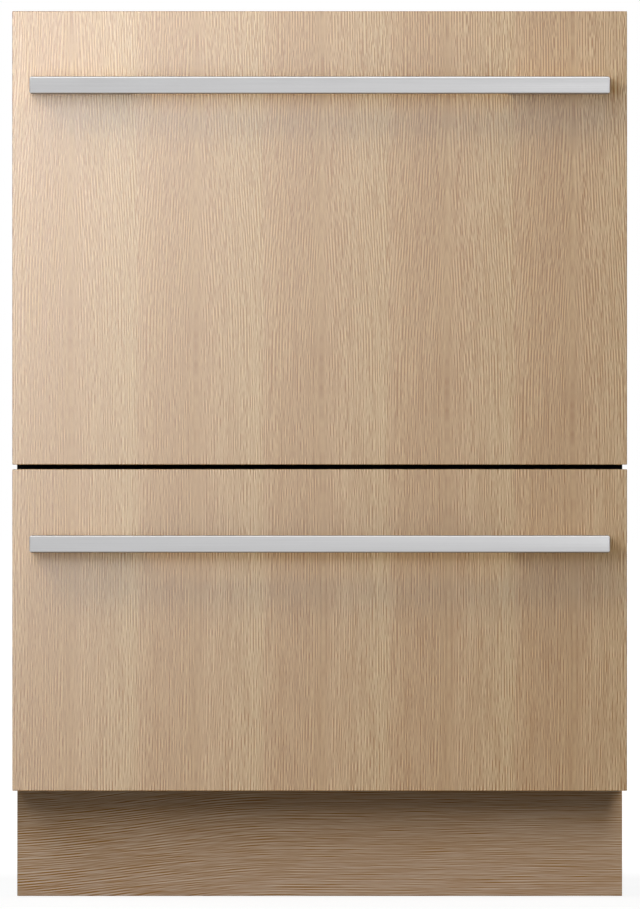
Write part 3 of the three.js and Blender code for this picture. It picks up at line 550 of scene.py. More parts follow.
# Polypropylene filled with talc: a flat mid grey.
CARRIER = MouldedPlastic("grey_pp_carrier", "carrier_plastic", colour="7f8488", roughness=0.48)
# Polished black acrylic over the touch controls: deep and mirror-like.
GLOSS_BLACK = MouldedPlastic(
    "polished_black_acrylic",
    "gloss_black",
    colour="08080a",
    roughness=0.12,
    texture_depth_mm=0.0005,
)
# Pale print on the acrylic.
PRINT = MouldedPlastic(
    "pale_grey_print", "gloss_black", colour="c9cccf", roughness=0.4, texture_depth_mm=0.0005
)
# Wash tub of pale polypropylene: clean, with a soft gloss.
TUB = MouldedPlastic(
    "light_grey_pp_tub", "tub_plastic", colour="c3c7ca", roughness=0.36, texture_mm=1.6
)
# Glass-filled polypropylene: dark slate, slightly rough.
FILTER = MouldedPlastic("slate_pp_filter", "filter_plastic", colour="5d6266", roughness=0.42)
# Welded polypropylene spray arm: mid grey with a gloss from the wash.
SPRAY = MouldedPlastic("mid_grey_pp_spray_arm", "spray_plastic", colour="8b9094", roughness=0.38)
# Nylon powder fused on steel wire: a smooth thick skin.
NYLON = MouldedPlastic(
    "grey_nylon_coated_wire", "coated_wire", colour="a2a7ab", roughness=0.35, texture_mm=1.2
)
# ABS dispenser: mid grey and glossier than the tub.
DISPENSER = MouldedPlastic(
    "grey_abs_dispenser", "dispenser_plastic", colour="858a8f", roughness=0.3
)
# Lid of near-white polypropylene.
LID = MouldedPlastic("white_pp_lid", "lid_plastic", colour="d9dcdd", roughness=0.42, texture_mm=1.6)
# EPDM seal: charcoal and nearly matt.
RUBBER = MouldedPlastic("charcoal_epdm_seal", "seal_rubber", colour="2c2e30", roughness=0.78)
# Pale blue polycarbonate lenses over the strip's small lamps.
LAMP_LENS = MouldedPlastic(
    "pale_blue_lamp_lens", "gloss_black", colour="9fc4dd", roughness=0.15, texture_depth_mm=0.0005
)
# Smoked acrylic window, a shade lighter than the strip round it.
DISPLAY = MouldedPlastic(
    "smoked_display_window", "gloss_black", colour="15181c", roughness=0.08, texture_depth_mm=0.0005
)
# Natural nylon sockets: a warm off-white that stands out from the black module.
CONNECTOR = MouldedPlastic("natural_nylon_socket", "moulded_black", colour="cfc9b8", roughness=0.4)
# Dark ABS flap, a shade darker than the dispenser.
FLAP = MouldedPlastic("dark_abs_flap", "dispenser_plastic", colour="4c5054", roughness=0.34)


# ---------------- Meshes ----------------


def put_in_scene(name: str, mesh: Mesh) -> Object:
    """Links a mesh to the scene as an object at the origin.

    Args:
        name: the object's name.
        mesh: its mesh.

    Returns:
        The object.
    """
    piece = bpy.data.objects.new(name, mesh)
    bpy.context.scene.collection.objects.link(piece)
    return piece


def settle(piece: Object) -> Object:
    """Turns a piece's modifiers into plain mesh.

    Args:
        piece: the piece.

    Returns:
        The same piece, without modifiers.
    """
    depsgraph = bpy.context.evaluated_depsgraph_get()
    depsgraph.update()
    plain = bpy.data.meshes.new_from_object(piece.evaluated_get(depsgraph))
    plain.name = piece.name
    piece.modifiers.clear()
    piece.data = plain
    return piece


def shade(piece: Object, sharp_degrees: float) -> None:
    """Shades a piece smooth up to an angle and keeps its flats flat.

    Args:
        piece: the piece, which gets a modifier.
        sharp_degrees: edges that turn by more than this stay sharp.
    """
    piece.data.shade_smooth()
    piece.data.set_sharp_from_angle(angle=math.radians(sharp_degrees))
    weighted = piece.modifiers.new("flat_faces", "WEIGHTED_NORMAL")
    weighted.keep_sharp = True


def mesh_of(name: str, build: Builder) -> Mesh:
    """Builds a mesh, merges its doubles and points its faces outwards.

    Args:
        name: the mesh's name.
        build: fills the mesh.

    Returns:
        The mesh.
    """
    bm = bmesh.new()
    build(bm)
    bmesh.ops.remove_doubles(bm, verts=bm.verts, dist=1e-6)
    bmesh.ops.recalc_face_normals(bm, faces=bm.faces)
    mesh = bpy.data.meshes.new(name)
    bm.to_mesh(mesh)
    bm.free()
    return mesh


def add_block(bm: BMesh, low: Point, high: Point, radius: float, steps: int = 2) -> None:
    """Adds a box with rounded edges.

    Args:
        bm: the mesh that takes it.
        low: its lowest corner.
        high: its highest corner.
        radius: the edges' radius.
        steps: faces round each edge.
    """
    size = Vector(high) - Vector(low)
    place = Matrix.Translation((Vector(low) + Vector(high)) / 2) @ Matrix.Diagonal((*size, 1))
    made = bmesh.ops.create_cube(bm, size=1, matrix=place)
    edges = list({edge for vert in made["verts"] for edge in vert.link_edges})
    offset = min(radius, 0.45 * min(size))
    bmesh.ops.bevel(bm, geom=edges, offset=offset, segments=steps, profile=0.5, affect="EDGES")


def add_spoke(bm: BMesh, low: Point, high: Point, radius: float, hub: Point, angle: float) -> None:
    """Adds a box with rounded edges, turned round an upright line.

    Args:
        bm: the mesh that takes it.
        low: its lowest corner from the hub, before the turn.
        high: its highest corner from the hub, before the turn.
        radius: the edges' radius.
        hub: a point on the line.
        angle: how far it is turned.
    """
    old = set(bm.verts)
    add_block(bm, low, high, radius)
    turn = Matrix.Translation(hub) @ Matrix.Rotation(angle, 4, "Z")
    bmesh.ops.transform(bm, matrix=turn, verts=[v for v in bm.verts if v not in old])


def bridge(bm: BMesh, lower: Sequence, upper: Sequence) -> None:
    """Joins two closed rings of vertices with faces.

    Args:
        bm: the mesh that takes the faces.
        lower: one ring, or a single vertex.
        upper: the other ring, of as many vertices, or a single vertex.
    """
    count = max(len(lower), len(upper))
    for i in range(count):
        j = (i + 1) % count
        corners = [lower[i % len(lower)], lower[j % len(lower)]]
        corners += [upper[j % len(upper)], upper[i % len(upper)]]
        bm.faces.new(list(dict.fromkeys(corners)))


def six_sided(*rings: int) -> RingShape:
    """Turns some rings of a turned body from round to six-sided.

    Args:
        rings: the numbers of those rings' profile points.

    Returns:
        What gives a factor on the radius, from a profile point's number and its angle.
    """

    def factor(number: int, angle: float) -> float:
        """Gives the factor, which is 1 on the rings that stay round."""
        flat = math.cos(math.pi / 6) / math.cos(angle % (math.pi / 3) - math.pi / 6)
        return flat if number in rings else 1.0

    return factor


def in_metres(profile: Sequence[Point]) -> list[tuple[float, float]]:
    """Turns a profile's radius and height pairs from millimetres to metres."""
    return [(radius * MM, height * MM) for radius, height in profile]


def as_is(number: int, angle: float) -> float:
    """Leaves each ring of a turned body round, as a factor on its radius."""
    return 1.0


def add_turned(
    bm: BMesh,
    profile: Sequence[Point],
    base: Point,
    axis: Point = UP,
    steps: int = 32,
    shape: RingShape = as_is,
) -> None:
    """Adds a turned body.

    Args:
        bm: the mesh that takes it.
        profile: radius and height pairs; a radius of 0 is a point on the axis, and a profile
            whose last pair repeats its first is a ring with a hole.
        base: the point at height 0 on the axis.
        axis: the way that heights grow.
        steps: faces round the axis.
        shape: gives a factor on the radius, from a profile point's number and its angle.
    """
    turn = Vector(axis).to_track_quat("Z", "Y").to_matrix().to_4x4()
    place = Matrix.Translation(Vector(base)) @ turn
    rings = []
    for number, (radius, height) in enumerate(profile):
        angles = [2 * math.pi * step / steps for step in range(steps)] if radius else [0.0]
        ring = []
        for angle in angles:
            reach = radius * shape(number, angle)
            point = Vector((reach * math.cos(angle), reach * math.sin(angle), height))
            ring.append(bm.verts.new(place @ point))
        rings.append(ring)
    for lower, upper in zip(rings, rings[1:]):
        bridge(bm, lower, upper)


def of_blocks(blocks: Sequence[tuple[Point, Point, float]], steps: int = 2) -> Builder:
    """Describes a mesh of boxes with rounded edges.

    Args:
        blocks: each one's lowest corner, its highest corner and its edges' radius.
        steps: faces round each edge.

    Returns:
        What fills the mesh.
    """

    def build(bm: BMesh) -> None:
        """Fills the mesh with the boxes."""
        for low, high, radius in blocks:
            add_block(bm, low, high, radius, steps)

    return build


def of_turned(
    profile: Sequence[Point],
    places: Places = ((ORIGIN, UP),),
    steps: int = 24,
    shape: RingShape = as_is,
) -> Builder:
    """Describes a mesh of turned bodies, all alike.

    Args:
        profile: radius and height pairs as add_turned takes them, but in millimetres.
        places: each one's point at height 0 and the way that its heights grow.
        steps: faces round the axis.
        shape: gives a factor on the radius, from a profile point's number and its angle.

    Returns:
        What fills the mesh.
    """

    def build(bm: BMesh) -> None:
        """Fills the mesh with the bodies."""
        for base, axis in places:
            add_turned(bm, in_metres(profile), base, axis, steps, shape)

    return build


def rounded_loop(
    half_width: float, front: float, back: float, radius: float, height: float, steps: int = 10
) -> list[Vector]:
    """Goes round a rectangle in plan with round corners.

    Args:
        half_width: half its width, centred on X.
        front: its lowest Y.
        back: its highest Y.
        radius: the corners' radius.
        height: its Z.
        steps: stretches in each corner.

    Returns:
        The points, counter-clockwise from above.
    """
    points = []
    for number, (side_x, side_y) in enumerate(((1, 1), (-1, 1), (-1, -1), (1, -1))):
        middle_x = side_x * (half_width - radius)
        middle_y = back - radius if side_y > 0 else front + radius
        for step in range(steps + 1):
            angle = math.pi / 2 * (number + step / steps)
            across, deep = radius * math.cos(angle), radius * math.sin(angle)
            points.append(Vector((middle_x + across, middle_y + deep, height)))
    return points


def add_shell(bm: BMesh, loops: Sequence[Sequence[Vector]]) -> None:
    """Adds a closed body through a row of loops, capped at both ends.

    Args:
        bm: the mesh that takes it.
        loops: loops of as many points each, in order.
    """
    rings = [[bm.verts.new(point) for point in loop] for loop in loops]
    for lower, upper in zip(rings, rings[1:]):
        bridge(bm, lower, upper)
    bm.faces.new(list(reversed(rings[0])))
    bm.faces.new(rings[-1])


def arc(
    middle: tuple[float, float], radius: float, start: float, steps: int = 5, turn: float = 0.5
) -> list[tuple[float, float]]:
    """Goes round an arc, a quarter of a circle unless told otherwise.

    Args:
        middle: the circle's middle.
        radius: its radius.
        start: where it starts, in half turns.
        steps: how many stretches it has.
        turn: how far it goes, in half turns.

    Returns:
        The points, both ends included.
    """
    angles = [math.pi * (start + turn * step / steps) for step in range(steps + 1)]
    return [
        (middle[0] + radius * math.cos(angle), middle[1] + radius * math.sin(angle))
        for angle in angles
    ]


def combine(piece: Object, shapes: Sequence[Builder], operation: str) -> None:
    """Cuts closed shapes out of a piece, or joins them on.

    Args:
        piece: the piece, whose modifiers are applied.
        shapes: each fills a closed mesh.
        operation: DIFFERENCE or UNION.
    """
    tools = []
    for build in shapes:
        tool = put_in_scene("shaping_tool", mesh_of("shaping_tool", build))
        shaped = piece.modifiers.new("shaped", "BOOLEAN")
        shaped.operation = operation
        shaped.object = tool
        shaped.solver = "EXACT"
        tools.append(tool)
    settle(piece)
    for tool in tools:
        bpy.data.objects.remove(tool)


def spaced(first: float, last: float, count: int) -> list[float]:
    """Spaces places evenly between two ends, both included.

    Args:
        first: one end.
        last: the other end.
        count: how many places.

    Returns:
        The places.
    """
    return [first + (last - first) * i / (count - 1) for i in range(count)]


# ---------------- Geometry Nodes trees ----------------


class NodeTool:
    """A Geometry Nodes tree with named inputs that works on one carrier mesh at a time.

    Attributes:
        name: the tree's name.
        inputs: the type of each of its own inputs, by name.
    """

    name: str
    inputs: dict[str, str]

    def tree(self) -> NodeTree:
        """Builds the tree the first time, and finds it afterwards.

        Returns:
            The tree.
        """
        if self.name in bpy.data.node_groups:
            return bpy.data.node_groups[self.name]
        tree = bpy.data.node_groups.new(self.name, "GeometryNodeTree")
        add = partial(add_node, tree)
        tree.interface.new_socket("Geometry", in_out="INPUT", socket_type="NodeSocketGeometry")
        for label, kind in {**self.inputs, "Finish": "NodeSocketMaterial"}.items():
            tree.interface.new_socket(label, in_out="INPUT", socket_type=kind)
        tree.interface.new_socket("Geometry", in_out="OUTPUT", socket_type="NodeSocketGeometry")
        source = add("NodeGroupInput")
        real = add("GeometryNodeRealizeInstances", {0: self.shape(tree, source)})
        inputs = {"Geometry": real, "Material": source.outputs["Finish"]}
        dressed = add("GeometryNodeSetMaterial", inputs)
        add("NodeGroupOutput", {0: dressed})
        return tree

    def shape(self, tree: NodeTree, source: Node) -> Node:
        """Adds the tool's own nodes.

        Args:
            tree: the tree.
            source: the node with the tree's inputs.

        Returns:
            The node of the geometry that they make.
        """
        raise NotImplementedError

    def run(self, piece: Object, finish: Finish, **values: object) -> None:
        """Runs the tree on a piece and keeps the result as plain mesh.

        Args:
            piece: the carrier, whose mesh the result replaces.
            finish: the finish that the result takes.
            **values: the tree's inputs, by their names in lower case.
        """
        tree = self.tree()
        modifier = piece.modifiers.new(self.name, "NODES")
        modifier.node_group = tree
        given = {**values, "finish": finish.material()}
        for socket in tree.interface.items_tree:
            if socket.in_out == "INPUT" and socket.name.lower() in given:
                modifier[socket.identifier] = given[socket.name.lower()]
        settle(piece)


class WireBender(NodeTool):
    """Sweeps a round section along the edges of a carrier, with rounded bends."""

    name = "wire_bender"
    inputs = {"Radius": "NodeSocketFloat", "Bend": "NodeSocketFloat", "Sides": "NodeSocketInt"}

    def shape(self, tree: NodeTree, source: Node) -> Node:
        """Adds the curve, its bends and its section.

        Args:
            tree: the tree.
            source: the node with the tree's inputs.

        Returns:
            The node of the swept wires.
        """
        add = partial(add_node, tree)
        curve = add("GeometryNodeMeshToCurve", {0: source.outputs["Geometry"]})
        bend = source.outputs["Bend"]
        inputs = {"Curve": curve, "Radius": bend, "Limit Radius": True, "Count": 5}
        bent = add("GeometryNodeFilletCurve", inputs, mode="POLY")
        sides = {"Resolution": source.outputs["Sides"], "Radius": source.outputs["Radius"]}
        section = add("GeometryNodeCurvePrimitiveCircle", sides)
        inputs = {"Curve": bent, "Profile Curve": section, "Fill Caps": True}
        swept = add("GeometryNodeCurveToMesh", inputs)
        return add("GeometryNodeSetShadeSmooth", {0: swept})


class Scatterer(NodeTool):
    """Sets a copy of a small pattern piece on each point of a carrier, turned to its facing."""

    name = "scatterer"
    inputs = {"Pattern": "NodeSocketObject", "Size": "NodeSocketFloat"}

    def shape(self, tree: NodeTree, source: Node) -> Node:
        """Adds the copies and their turns.

        Args:
            tree: the tree.
            source: the node with the tree's inputs.

        Returns:
            The node of the copies.
        """
        add = partial(add_node, tree)
        pattern = add("GeometryNodeObjectInfo", {"Object": source.outputs["Pattern"]})
        named = {"Name": "facing"}
        facing = add("GeometryNodeInputNamedAttribute", named, data_type="FLOAT_VECTOR")
        turn = add("FunctionNodeAlignRotationToVector", {"Vector": facing}, axis="Z")
        inputs = {
            "Points": source.outputs["Geometry"],
            "Instance": pattern.outputs["Geometry"],
            "Rotation": turn,
            "Scale": source.outputs["Size"],
        }
        return add("GeometryNodeInstanceOnPoints", inputs)


WIRES = WireBender()
COPIES = Scatterer()


@dataclass
class Assembly:
    """A group of pieces that are built and dressed together."""

    def place(
        self, piece: Object, body: str, finish: Finish, replaced: Sequence[str] = ()
    ) -> Object:
        """Hands a finished piece to the body that carries it.

        Args:
            piece: the piece, in place and with its mesh final.
            body: the CAD body that it rides on.
            finish: its finish, whose material it takes if it has none.
            replaced: the CAD nodes that it stands for.

        Returns:
            The piece.
        """
        if not piece.data.materials:
            piece.data.materials.append(finish.material())
        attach(piece, body)
        if replaced:
            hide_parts(*replaced)
        LOG.info("%s rides on %s with %d faces", piece.name, body, len(piece.data.polygons))
        return piece

    def make(
        self,
        name: str,
        build: Builder,
        body: str,
        finish: Finish,
        replaced: Sequence[str] = (),
        sharp_degrees: float = 40.0,
    ) -> Object:
        """Builds, shades and places a piece.

        Args:
            name: the piece's name.
            build: fills its mesh.
            body: the CAD body that it rides on.
            finish: its finish.
            replaced: the CAD nodes that it stands for.
            sharp_degrees: edges that turn by more than this stay sharp.

        Returns:
            The piece.
        """
        piece = put_in_scene(name, mesh_of(name, build))
        shade(piece, sharp_degrees)
        return self.place(settle(piece), body, finish, replaced)

    def dress(self, node: str, finish: Finish, edge_mm: float, steps: int = 2) -> None:
        """Gives a CAD node its finish and eases its sharp edges.

        Args:
            node: the node's name.
            finish: its finish.
            edge_mm: the edges' new radius, in millimetres.
            steps: faces round each edge.
        """
        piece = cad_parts[node]
        piece.data.materials.clear()
        piece.data.materials.append(finish.material())
        self.ease(piece, edge_mm, steps)

    def rework(
        self,
        node: str,
        body: str,
        finish: Finish,
        edge_mm: float,
        cuts: Sequence[Builder] = (),
        adds: Sequence[Builder] = (),
    ) -> Object:
        """Makes a piece from a CAD node's own solid, with finer cuts and additions.

        Args:
            node: the node, whose place the piece takes.
            body: the CAD body that it rides on.
            finish: its finish.
            edge_mm: the radius of its eased edges, in millimetres.
            cuts: each fills a closed mesh that is cut away, after the additions.
            adds: each fills a closed mesh that is joined on.

        Returns:
            The piece.
        """
        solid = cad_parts[node]
        mesh = solid.data.copy()
        mesh.transform(solid.matrix_world)
        mesh.materials.clear()
        piece = put_in_scene(node + "_detailed", mesh)
        weld = piece.modifiers.new("weld", "WELD")
        weld.merge_threshold = 1e-6
        combine(piece, adds, "UNION")
        combine(piece, cuts, "DIFFERENCE")
        self.ease(piece, edge_mm, 2)
        return self.place(settle(piece), body, finish, (node,))

    @staticmethod
    def ease(piece: Object, edge_mm: float, steps: int) -> None:
        """Rounds a piece's sharp edges and keeps its flats flat.

        Args:
            piece: the piece, which gets the modifiers.
            edge_mm: the edges' radius, in millimetres.
            steps: faces round each edge.
        """
        piece.data.shade_smooth()
        weld = piece.modifiers.new("weld", "WELD")
        weld.merge_threshold = 1e-6
        flat = piece.modifiers.new("flats", "DECIMATE")
        flat.decimate_type = "DISSOLVE"
        flat.angle_limit = math.radians(0.5)
        ease = piece.modifiers.new("eased_edges", "BEVEL")
        ease.width = edge_mm * MM
        ease.segments = steps
        ease.limit_method = "ANGLE"
        ease.angle_limit = math.radians(40)
        weighted = piece.modifiers.new("flat_faces", "WEIGHTED_NORMAL")
        weighted.keep_sharp = True

    def wires(
        self,
        name: str,
        paths: Sequence[Sequence[Point]],
        body: str,
        finish: Finish,
        radius: float,
        bend: float,
        replaced: Sequence[str] = (),
    ) -> Object:
        """Bends wires along paths and places them as one piece.

        Args:
            name: the piece's name.
            paths: the corners of each wire; one that ends where it starts is a ring.
            body: the CAD body that it rides on.
            finish: its finish.
            radius: the wire's radius.
            bend: the radius at each corner.
            replaced: the CAD nodes that it stands for.

        Returns:
            The piece.
        """
        points, edges = [], []
        for path in paths:
            ring = tuple(path[0]) == tuple(path[-1])
            corners = path[:-1] if ring else path
            start = len(points)
            points += [tuple(corner) for corner in corners]
            edges += [(start + i, start + i + 1) for i in range(len(corners) - 1)]
            if ring:
                edges.append((start + len(corners) - 1, start))
        mesh = bpy.data.meshes.new(name)
        mesh.from_pydata(points, edges, [])
        piece = put_in_scene(name, mesh)
        WIRES.run(piece, finish, radius=radius, bend=bend, sides=10)
        return self.place(piece, body, finish, replaced)

    def copies(
        self,
        name: str,
        pattern: Builder,
        places: Places,
        body: str,
        finish: Finish,
        size: float = 1.0,
    ) -> Object:
        """Sets copies of a small pattern on points, as one piece.

        Args:
            name: the piece's name.
            pattern: fills the pattern's mesh, which faces +Z.
            places: each copy's point and the way that it faces.
            body: the CAD body that it rides on.
            finish: its finish.
            size: a factor on the pattern.

        Returns:
            The piece.
        """
        model = put_in_scene(name + "_pattern", mesh_of(name + "_pattern", pattern))
        model.data.shade_smooth()
        model.data.set_sharp_from_angle(angle=math.radians(35))
        mesh = bpy.data.meshes.new(name)
        mesh.from_pydata([tuple(point) for point, _ in places], [], [])
        facings = mesh.attributes.new("facing", "FLOAT_VECTOR", "POINT")
        facings.data.foreach_set("vector", [part for _, facing in places for part in facing])
        piece = put_in_scene(name, mesh)
        COPIES.run(piece, finish, pattern=model, size=size)
        bpy.data.objects.remove(model)
        return self.place(piece, body, finish)


@dataclass
class BayAssembly(Assembly):
    """An assembly that each drawer has.

    Attributes:
        bay: which drawer it is in.
    """

    bay: Bay

    def node(self, name: str) -> str:
        """Returns the full name of one of this bay's nodes or bodies."""
        return self.bay.node(name)


# A 7 mm pan-head screw with a hexagonal socket, its seat at height 0.
SCREW_HEAD = of_turned(
    [(0, 0.9), (1.5, 0.9), (1.55, 2.35), (1.9, 2.5), (2.9, 2.1), (3.5, 1.2), (3.5, -0.4),
     (0, -0.4)],
    shape=six_sided(1, 2),
)
# A 6 mm flat screw head with a shallow socket, its seat at height 0.
FLAT_SCREW_HEAD = of_turned(
    [(0, 0.12), (1.4, 0.12), (1.45, 0.38), (1.7, 0.44), (2.7, 0.4), (3.0, 0.2), (3.0, -0.2),
     (0, -0.2)],
    shape=six_sided(1, 2),
)


# ---------------- Sub-assemblies ----------------


@dataclass(frozen=True)
class Pressing:
    """The stiffening fields pressed into one panel.

    Attributes:
        lie: the axis that the panel faces along.
        face: its outer face on that axis.
        side: 1 or -1, the way that the face points.
        deep_mm: how deep the fields are.
        fields: from and to on the panel's first axis, then on its second, of each field.
        sheet_mm: the sheet's thickness behind a field.
    """

    lie: Lie
    face: float
    side: int
    deep_mm: float
    fields: Sequence[Sequence[float]]
    sheet_mm: float = 1.0

    def spot(self, first: float, second: float, level: float) -> Vector:
        """Finds a point, from its places on the panel's two axes and its level.

        Args:
            first: its place on the first axis.
            second: its place on the second axis.
            level: its place on the axis that the panel faces along.

        Returns:
            The point.
        """
        parts = [first, second]
        parts.insert(self.lie.value, level)
        return Vector(parts)

    def backings(self) -> list[Builder]:
        """Describes the metal that the fields push inwards.

        Returns:
            What fills the mesh of the block behind each field.
        """
        skin, back = 0.4 * MM, (self.deep_mm + self.sheet_mm) * MM
        near, far = sorted((self.face - self.side * skin, self.face - self.side * back))
        return [
            of_blocks([(self.spot(left, low, near), self.spot(right, high, far), 0.3 * MM)])
            for left, right, low, high in self.fields
        ]

    def plugs(self) -> list[Builder]:
        """Lists what fills the meshes that are cut away for the fields."""
        return [partial(self.fill_plug, reach) for reach in self.fields]

    def fill_plug(self, reach: Sequence[float], bm: BMesh) -> None:
        """Fills a mesh with a tapered plug that reaches through the face.

        Args:
            reach: the field's from and to on both axes.
            bm: the mesh.
        """
        middle_x, middle_y = (reach[0] + reach[1]) / 2, (reach[2] + reach[3]) / 2
        half_x, half_y = (reach[1] - reach[0]) / 2, (reach[3] - reach[2]) / 2
        deep = self.deep_mm
        loops = []
        for depth, inset_mm in ((-deep, deep + 3.0), (-0.15, 1.4), (0.3, 0.9)):
            inset = inset_mm * MM
            level = self.face + self.side * depth * MM
            flat = rounded_loop(half_x - inset, -half_y + inset, half_y - inset, 0.03, 0.0)
            loops.append([self.spot(at.x + middle_x, at.y + middle_y, level) for at in flat])
        add_shell(bm, loops)


@dataclass
class Cabinet(Assembly):
    """The steel cabinet: pressed panels, tray, rail, toe kick and control module.

    Attributes:
        body: the CAD body that holds it.
        edge_mm: how far the sheet's edges are eased.
        swage_mm: how deep the walls' stiffening fields are pressed in.
        top_swage_mm: the same for the top.
        margin: the flat rim round a field.
        field_half: half the width of the rear panel's and the top's fields.
        dimple_mm: the depth and radius of the dimples that the seam screws sit in.
        outlets: for each outlet hole's grommet, the hole's place across and its radius in mm.
        outlets_up: the holes' height.
    """

    body: str = "cabinet"
    edge_mm: float = 0.25
    swage_mm: float = 3.5
    top_swage_mm: float = 2.5
    margin: float = 0.05
    field_half: float = 0.25
    dimple_mm: tuple[float, float] = (0.5, 3.5)
    outlets: tuple[tuple[str, float, float], ...] = (("hose", -0.189, 25.0), ("mains", -0.249, 9.0))
    outlets_up: float = 0.100

    def build(self) -> None:
        """Presses the panels, dresses the rest and adds screws, grommets and black edge trims of
        painted shade.
        """
        seams = self.seams()
        for hand in Hand:
            node = f"{hand.word}_side_panel"
            low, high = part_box(node)
            face = high.x if hand is Hand.RIGHT else low.x
            depths = (low.y + self.margin, high.y - self.margin)
            # The fields lie between the slides and the lids' actuators.
            fields = [(*depths, 0.247, 0.338), (*depths, 0.572, 0.788)]
            self.press(node, Pressing(Lie.ACROSS, face, hand.value, self.swage_mm, fields), seams)
        _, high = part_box("rear_panel")
        widths = (-self.field_half, self.field_half)
        fields = [(*widths, 0.17, 0.42), (*widths, 0.47, high.z - self.margin)]
        self.press("rear_panel", Pressing(Lie.DEEP, high.y, 1, self.swage_mm, fields), seams)
        low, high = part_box("top_panel")
        fields = [(*widths, low.y + 0.06, high.y - 0.06)]
        self.press("top_panel", Pressing(Lie.UPRIGHT, high.z, 1, self.top_swage_mm, fields), seams)
        self.dress("base_tray", SHEET, self.edge_mm)
        # The rail's near-black coat is partly painted shade in the gap between the fronts.
        self.dress("centre_rail", BLACK_COAT_GAP_SHADE, self.edge_mm)
        # The toe kick's darker tints are partly painted shade under the fronts.
        self.dress("toe_kick", OAK_TOE, 0.6)
        self.module()
        self.seam_screws(seams)
        self.grommets()
        self.edge_trims()

    def press(self, node: str, pressing: Pressing, seams: Mapping[str, Sequence]) -> None:
        """Presses stiffening fields and the screws' dimples into a panel.

        Args:
            node: the panel.
            pressing: its fields.
            seams: the screws of each panel that has some.
        """
        cuts = pressing.plugs()
        if node in seams:
            cuts.append(self.dimples(seams[node]))
        self.rework(node, self.body, SHEET, self.edge_mm, cuts, pressing.backings())

    def edge_trims(self) -> None:
        """Clips a black trim over each side panel's front edge, as painted shade where the edge
        shows in the gap between the fronts.
        """
        rail_low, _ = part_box("centre_rail")
        gap, thick = 0.1 * MM, 0.8 * MM
        strips = []
        for hand in Hand:
            low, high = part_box(f"{hand.word}_side_panel")
            ends = sorted((hand.value * -rail_low.x, low.x if hand is Hand.LEFT else high.x))
            corner = (ends[0] + gap, low.y - thick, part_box("toe_kick")[1].z + 1.5 * MM)
            other = (ends[1] - gap, low.y - gap, high.z - 1 * MM)
            strips.append((corner, other, 0.25 * MM))
        # The black strips paint shade on the hems where they show in the gap between the fronts.
        self.make("front_edge_trims", of_blocks(strips), self.body, BLACK_COAT_GAP_SHADE)

    def module(self) -> None:
        """Dresses the control module and adds its cooling ribs and sockets."""
        self.dress("control_module", BLACK_ABS, 2.0, 3)
        low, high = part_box("control_module")

        inset, rib, socket = 0.03, 0.0012, 0.011
        blocks = []
        for y in spaced(low.y + 0.02, high.y - 0.02, 9):
            corner = (low.x + inset, y - rib, high.z - 0.5 * MM)
            blocks.append((corner, (high.x - inset, y + rib, high.z + 1.5 * MM), 0.6 * MM))
        for x in spaced(low.x + inset, high.x - inset, 5):
            corner = (x - socket, low.y - 5 * MM, low.z + 0.010)
            blocks.append((corner, (x + socket, low.y + 1 * MM, low.z + 0.028), 1.2 * MM))
        self.make("control_module_trim", of_blocks(blocks), self.body, CONNECTOR)

    @staticmethod
    def seams() -> dict[str, list[tuple[Point, Point]]]:
        """Lays out the screws along the side panels' seams and round the back.

        Returns:
            For each panel, each screw's place on the outer face and the way that it faces.
        """
        places = {}
        for hand in Hand:
            node = f"{hand.word}_side_panel"
            low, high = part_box(node)
            x = high.x if hand is Hand.RIGHT else low.x
            ys = spaced(low.y + 60 * MM, high.y - 20 * MM, 4)
            zs = (low.z + 10 * MM, high.z - 5 * MM)
            places[node] = [((x, y, z), (hand.value, 0, 0)) for z in zs for y in ys]
        low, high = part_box("rear_panel")
        inset = 12 * MM
        left, right = low.x + inset, high.x - inset
        foot, head = low.z + inset, high.z - inset
        spots = [(x, z) for x in spaced(left, right, 4) for z in (foot, head)]
        spots += [(x, z) for z in spaced(foot, head, 6)[1:-1] for x in (left, right)]
        places["rear_panel"] = [((x, high.y, z), (0, 1, 0)) for x, z in spots]
        return places

    def dimples(self, places: Places) -> Builder:
        """Describes the dimples that the seam screws sit in.

        Args:
            places: each screw's place and the way that it faces.

        Returns:
            What fills the mesh of the dimples' plugs, which are cut away.
        """
        deep, radius = self.dimple_mm
        return of_turned([(0, -deep), (radius, -deep), (radius + 0.2, 0.3), (0, 0.3)], places)

    def seam_screws(self, seams: Mapping[str, Places]) -> None:
        """Sets a flat screw in each dimple.

        Args:
            seams: for each panel, each screw's place and the way that it faces.
        """
        sunk = []
        for places in seams.values():
            for place, facing in places:
                seat = Vector(place) - Vector(facing) * self.dimple_mm[0] * MM
                sunk.append((tuple(seat), facing))
        self.copies("seam_screws", FLAT_SCREW_HEAD, sunk, self.body, SCREW_STEEL)

    def grommets(self) -> None:
        """Lines the rear panel's two holes with rubber."""
        low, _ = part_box("rear_panel")
        lip = 2.2 * MM
        for name, x, radius_mm in self.outlets:
            radius = radius_mm * MM
            neck = radius - 0.2 * MM
            profile = [(radius - lip, -lip), (radius + lip, -lip), (radius + lip, -0.3 * MM),
                       (neck, 0.0), (neck, 1 * MM), (radius - lip, 1 * MM), (radius - lip, -lip)]

            def ring(bm: BMesh, profile: list = profile, x: float = x) -> None:
                """Fills the mesh with one ring, seated on the panel's inside."""
                add_turned(bm, profile, (x, low.y, self.outlets_up), (0, 1, 0), 40)

            self.make(name + "_grommet", ring, self.body, RUBBER)


